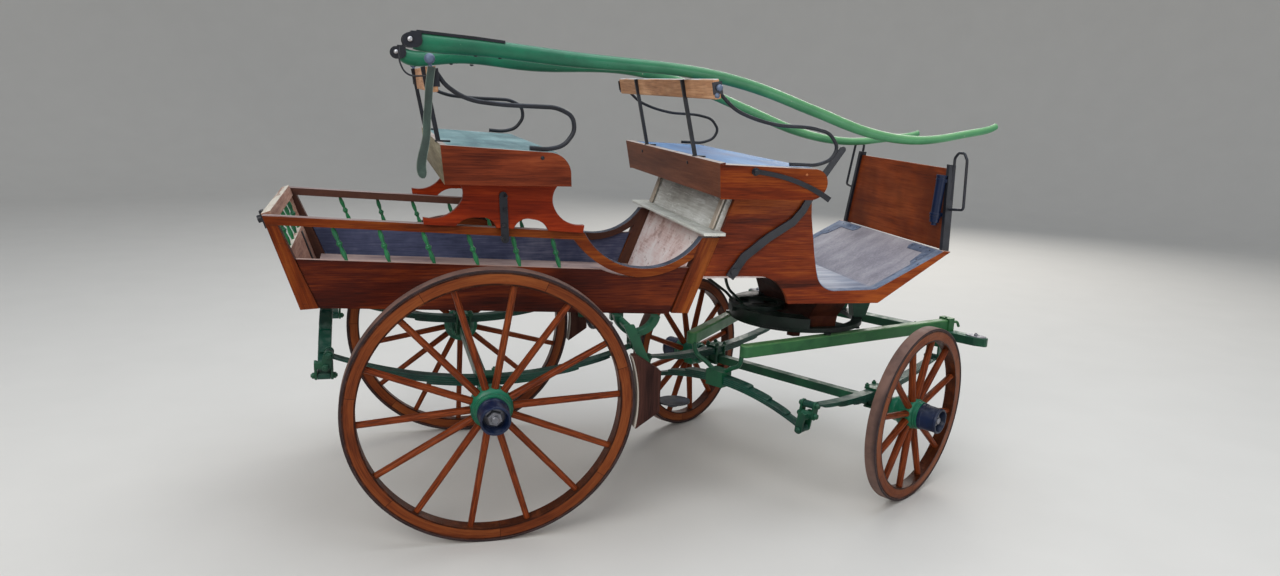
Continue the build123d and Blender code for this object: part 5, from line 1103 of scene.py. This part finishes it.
# Pads on the brake blocks' faces
k = Kit("brake_pads", "carriage", "pad", 60)
for side in (-1, 1):
    line = []
    for i in range(13):
        z = 408 + (670 - 408) * i / 12
        line.append((math.sqrt(515.0 ** 2 - (z - 502) ** 2), z))
    rows = []
    for x, z in line:
        n = Vector((x, 0, z - 502)).normalized() / 1000
        rows.append([k.bm.verts.new(body(x, side * 601 + w2, z) + n * d) for w2, d in ((-18, 1), (18, 1), (18, -5), (-18, -5))])
    for p, q in zip(rows, rows[1:]):
        for i in range(4):
            j = (i + 1) % 4
            k.bm.faces.new((p[i], p[j], q[j], q[i]))
    k.bm.faces.new(rows[0])
    k.bm.faces.new(rows[-1])
k.done()

# Round wire loop under the near shaft's end, and the ball on the back board's iron
k = Kit("shaft_wire_loop", "carriage", "black", 80)
k.tube([body(-286, -412, 1690), body(-290, -420, 1657), body(-284, -424, 1630), body(-270, -426, 1608), body(-246, -428, 1598), body(-206, -440, 1600)], 3.0, 10)
k.done()
k = Kit("back_board_balls", "carriage", "strip", 80)
for side in (-1, 1):
    k.lathe(body(-203, side * 583, 1652), (0, side, 0), [(-6, 6), (-2, 12), (3, 15.6), (9, 16.8), (15, 14.4), (19, 9.4), (21.5, 0)], 24)
    k.lathe(body(-200, side * 586, 1622), body_way(-3, 0, 20), [(-1, 0), (0, 7), (10, 5.5), (20, 5.5), (22, 0)], 16)
    k.lathe(body(742, side * 638, 1602), (0, side, 0), [(-8, 5), (-4, 9), (0, 11), (5, 11.4), (10, 8.6), (12.5, 0)], 20)
    k.lathe(body(736, side * 638, 1576), (0, side, 0), [(-8, 6), (-3, 9.5), (2, 9.5), (6, 6), (7, 0)], 6)
k.done()

# Old leather strap that hangs from the rear back board's near end
strap_line = [(-197, -592, 1628), (-201, -594, 1600), (-205, -593, 1560), (-208, -592, 1510), (-212, -592, 1460), (-213, -594, 1420), (-218, -597, 1388), (-226, -598, 1352), (-230, -597, 1320), (-227, -594, 1296), (-220, -590, 1280)]
bm = bmesh.new()
pts = [body(*p) for p in strap_line]
line = []
ext = [pts[0] * 2 - pts[1]] + pts + [pts[-1] * 2 - pts[-2]]
for i in range(1, len(ext) - 2):
    p0, p1, p2, p3 = ext[i - 1:i + 3]
    for s in range(5):
        t = s / 5
        line.append(0.5 * ((2 * p1) + (-p0 + p2) * t + (2 * p0 - 5 * p1 + 4 * p2 - p3) * t * t + (-p0 + 3 * p1 - 3 * p2 + p3) * t ** 3))
line.append(pts[-1])
rows = []
for i, p in enumerate(line):
    s = i / (len(line) - 1)
    half = 12.5 if s < 0.55 else 12.5 + 3.0 * math.sin((s - 0.55) / 0.45 * math.pi * 0.75)
    if s > 0.86:
        half *= max(0.06, math.sqrt(max(0.0, 1 - ((s - 0.86) / 0.14) ** 2)))
    t = (line[min(i + 1, len(line) - 1)] - line[max(i - 1, 0)]).normalized()
    n = Vector((0.12 * math.sin(s * 7), -1, 0.0))
    n = (n - t * n.dot(t)).normalized()
    wv = n.cross(t)
    rows.append([bm.verts.new(p + wv * (a * half / 1000) + n * (b / 1000 + 0.0006 * (1 - a * a))) for a, b in ((-1, 0), (-0.5, 0.2), (0, 0.3), (0.5, 0.2), (1, 0), (0.5, -1.9), (0, -2.0), (-0.5, -1.9))])
for p, q in zip(rows, rows[1:]):
    for j in range(8):
        m = (j + 1) % 8
        bm.faces.new((p[j], p[m], q[m], q[j]))
bm.faces.new(rows[0])
bm.faces.new(rows[-1])
bmesh.ops.recalc_face_normals(bm, faces=bm.faces[:])
me = bpy.data.meshes.new("leather_strap")
bm.to_mesh(me)
bm.free()
me.shade_smooth()
me.set_sharp_from_angle(angle=math.radians(50))
me.materials.append(M["leather"])
strap = bpy.data.objects.new("leather_strap", me)
bpy.context.scene.collection.objects.link(strap)
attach(strap, "carriage")

# ---------------------------------------------------------------------------
# Floor that turns up into a plain backdrop
bm = bmesh.new()
prof = [(0.0, 0.0)] + [(10.0 * i / 4, 0.0) for i in range(1, 5)] + [(10 + 4 * math.sin(a), 4 - 4 * math.cos(a)) for a in (math.pi / 2 * i / 10 for i in range(1, 11))] + [(14.0, 8.0)]
rows = []
for r, z in prof[1:]:
    rows.append([bm.verts.new((r * math.cos(t), r * math.sin(t), z - 0.0005)) for t in (2 * math.pi * i / 72 for i in range(72))])
c = bm.verts.new((0, 0, -0.0005))
for i in range(72):
    j = (i + 1) % 72
    bm.faces.new((c, rows[0][i], rows[0][j]))
    for p, q in zip(rows, rows[1:]):
        bm.faces.new((p[i], q[i], q[j], p[j]))
me = bpy.data.meshes.new("floor")
bm.to_mesh(me)
bm.free()
me.shade_smooth()
g = Graph("plain_floor")
n = g.noise(g.xyz, 3.0, 4, 0.5)
g.finish(g.mix(n, srgb(214, 212, 208), srgb(220, 218, 214)), 0.85, spec=0.2)
me.materials.append(g.mat)
floor = bpy.data.objects.new("floor", me)
bpy.context.scene.collection.objects.link(floor)
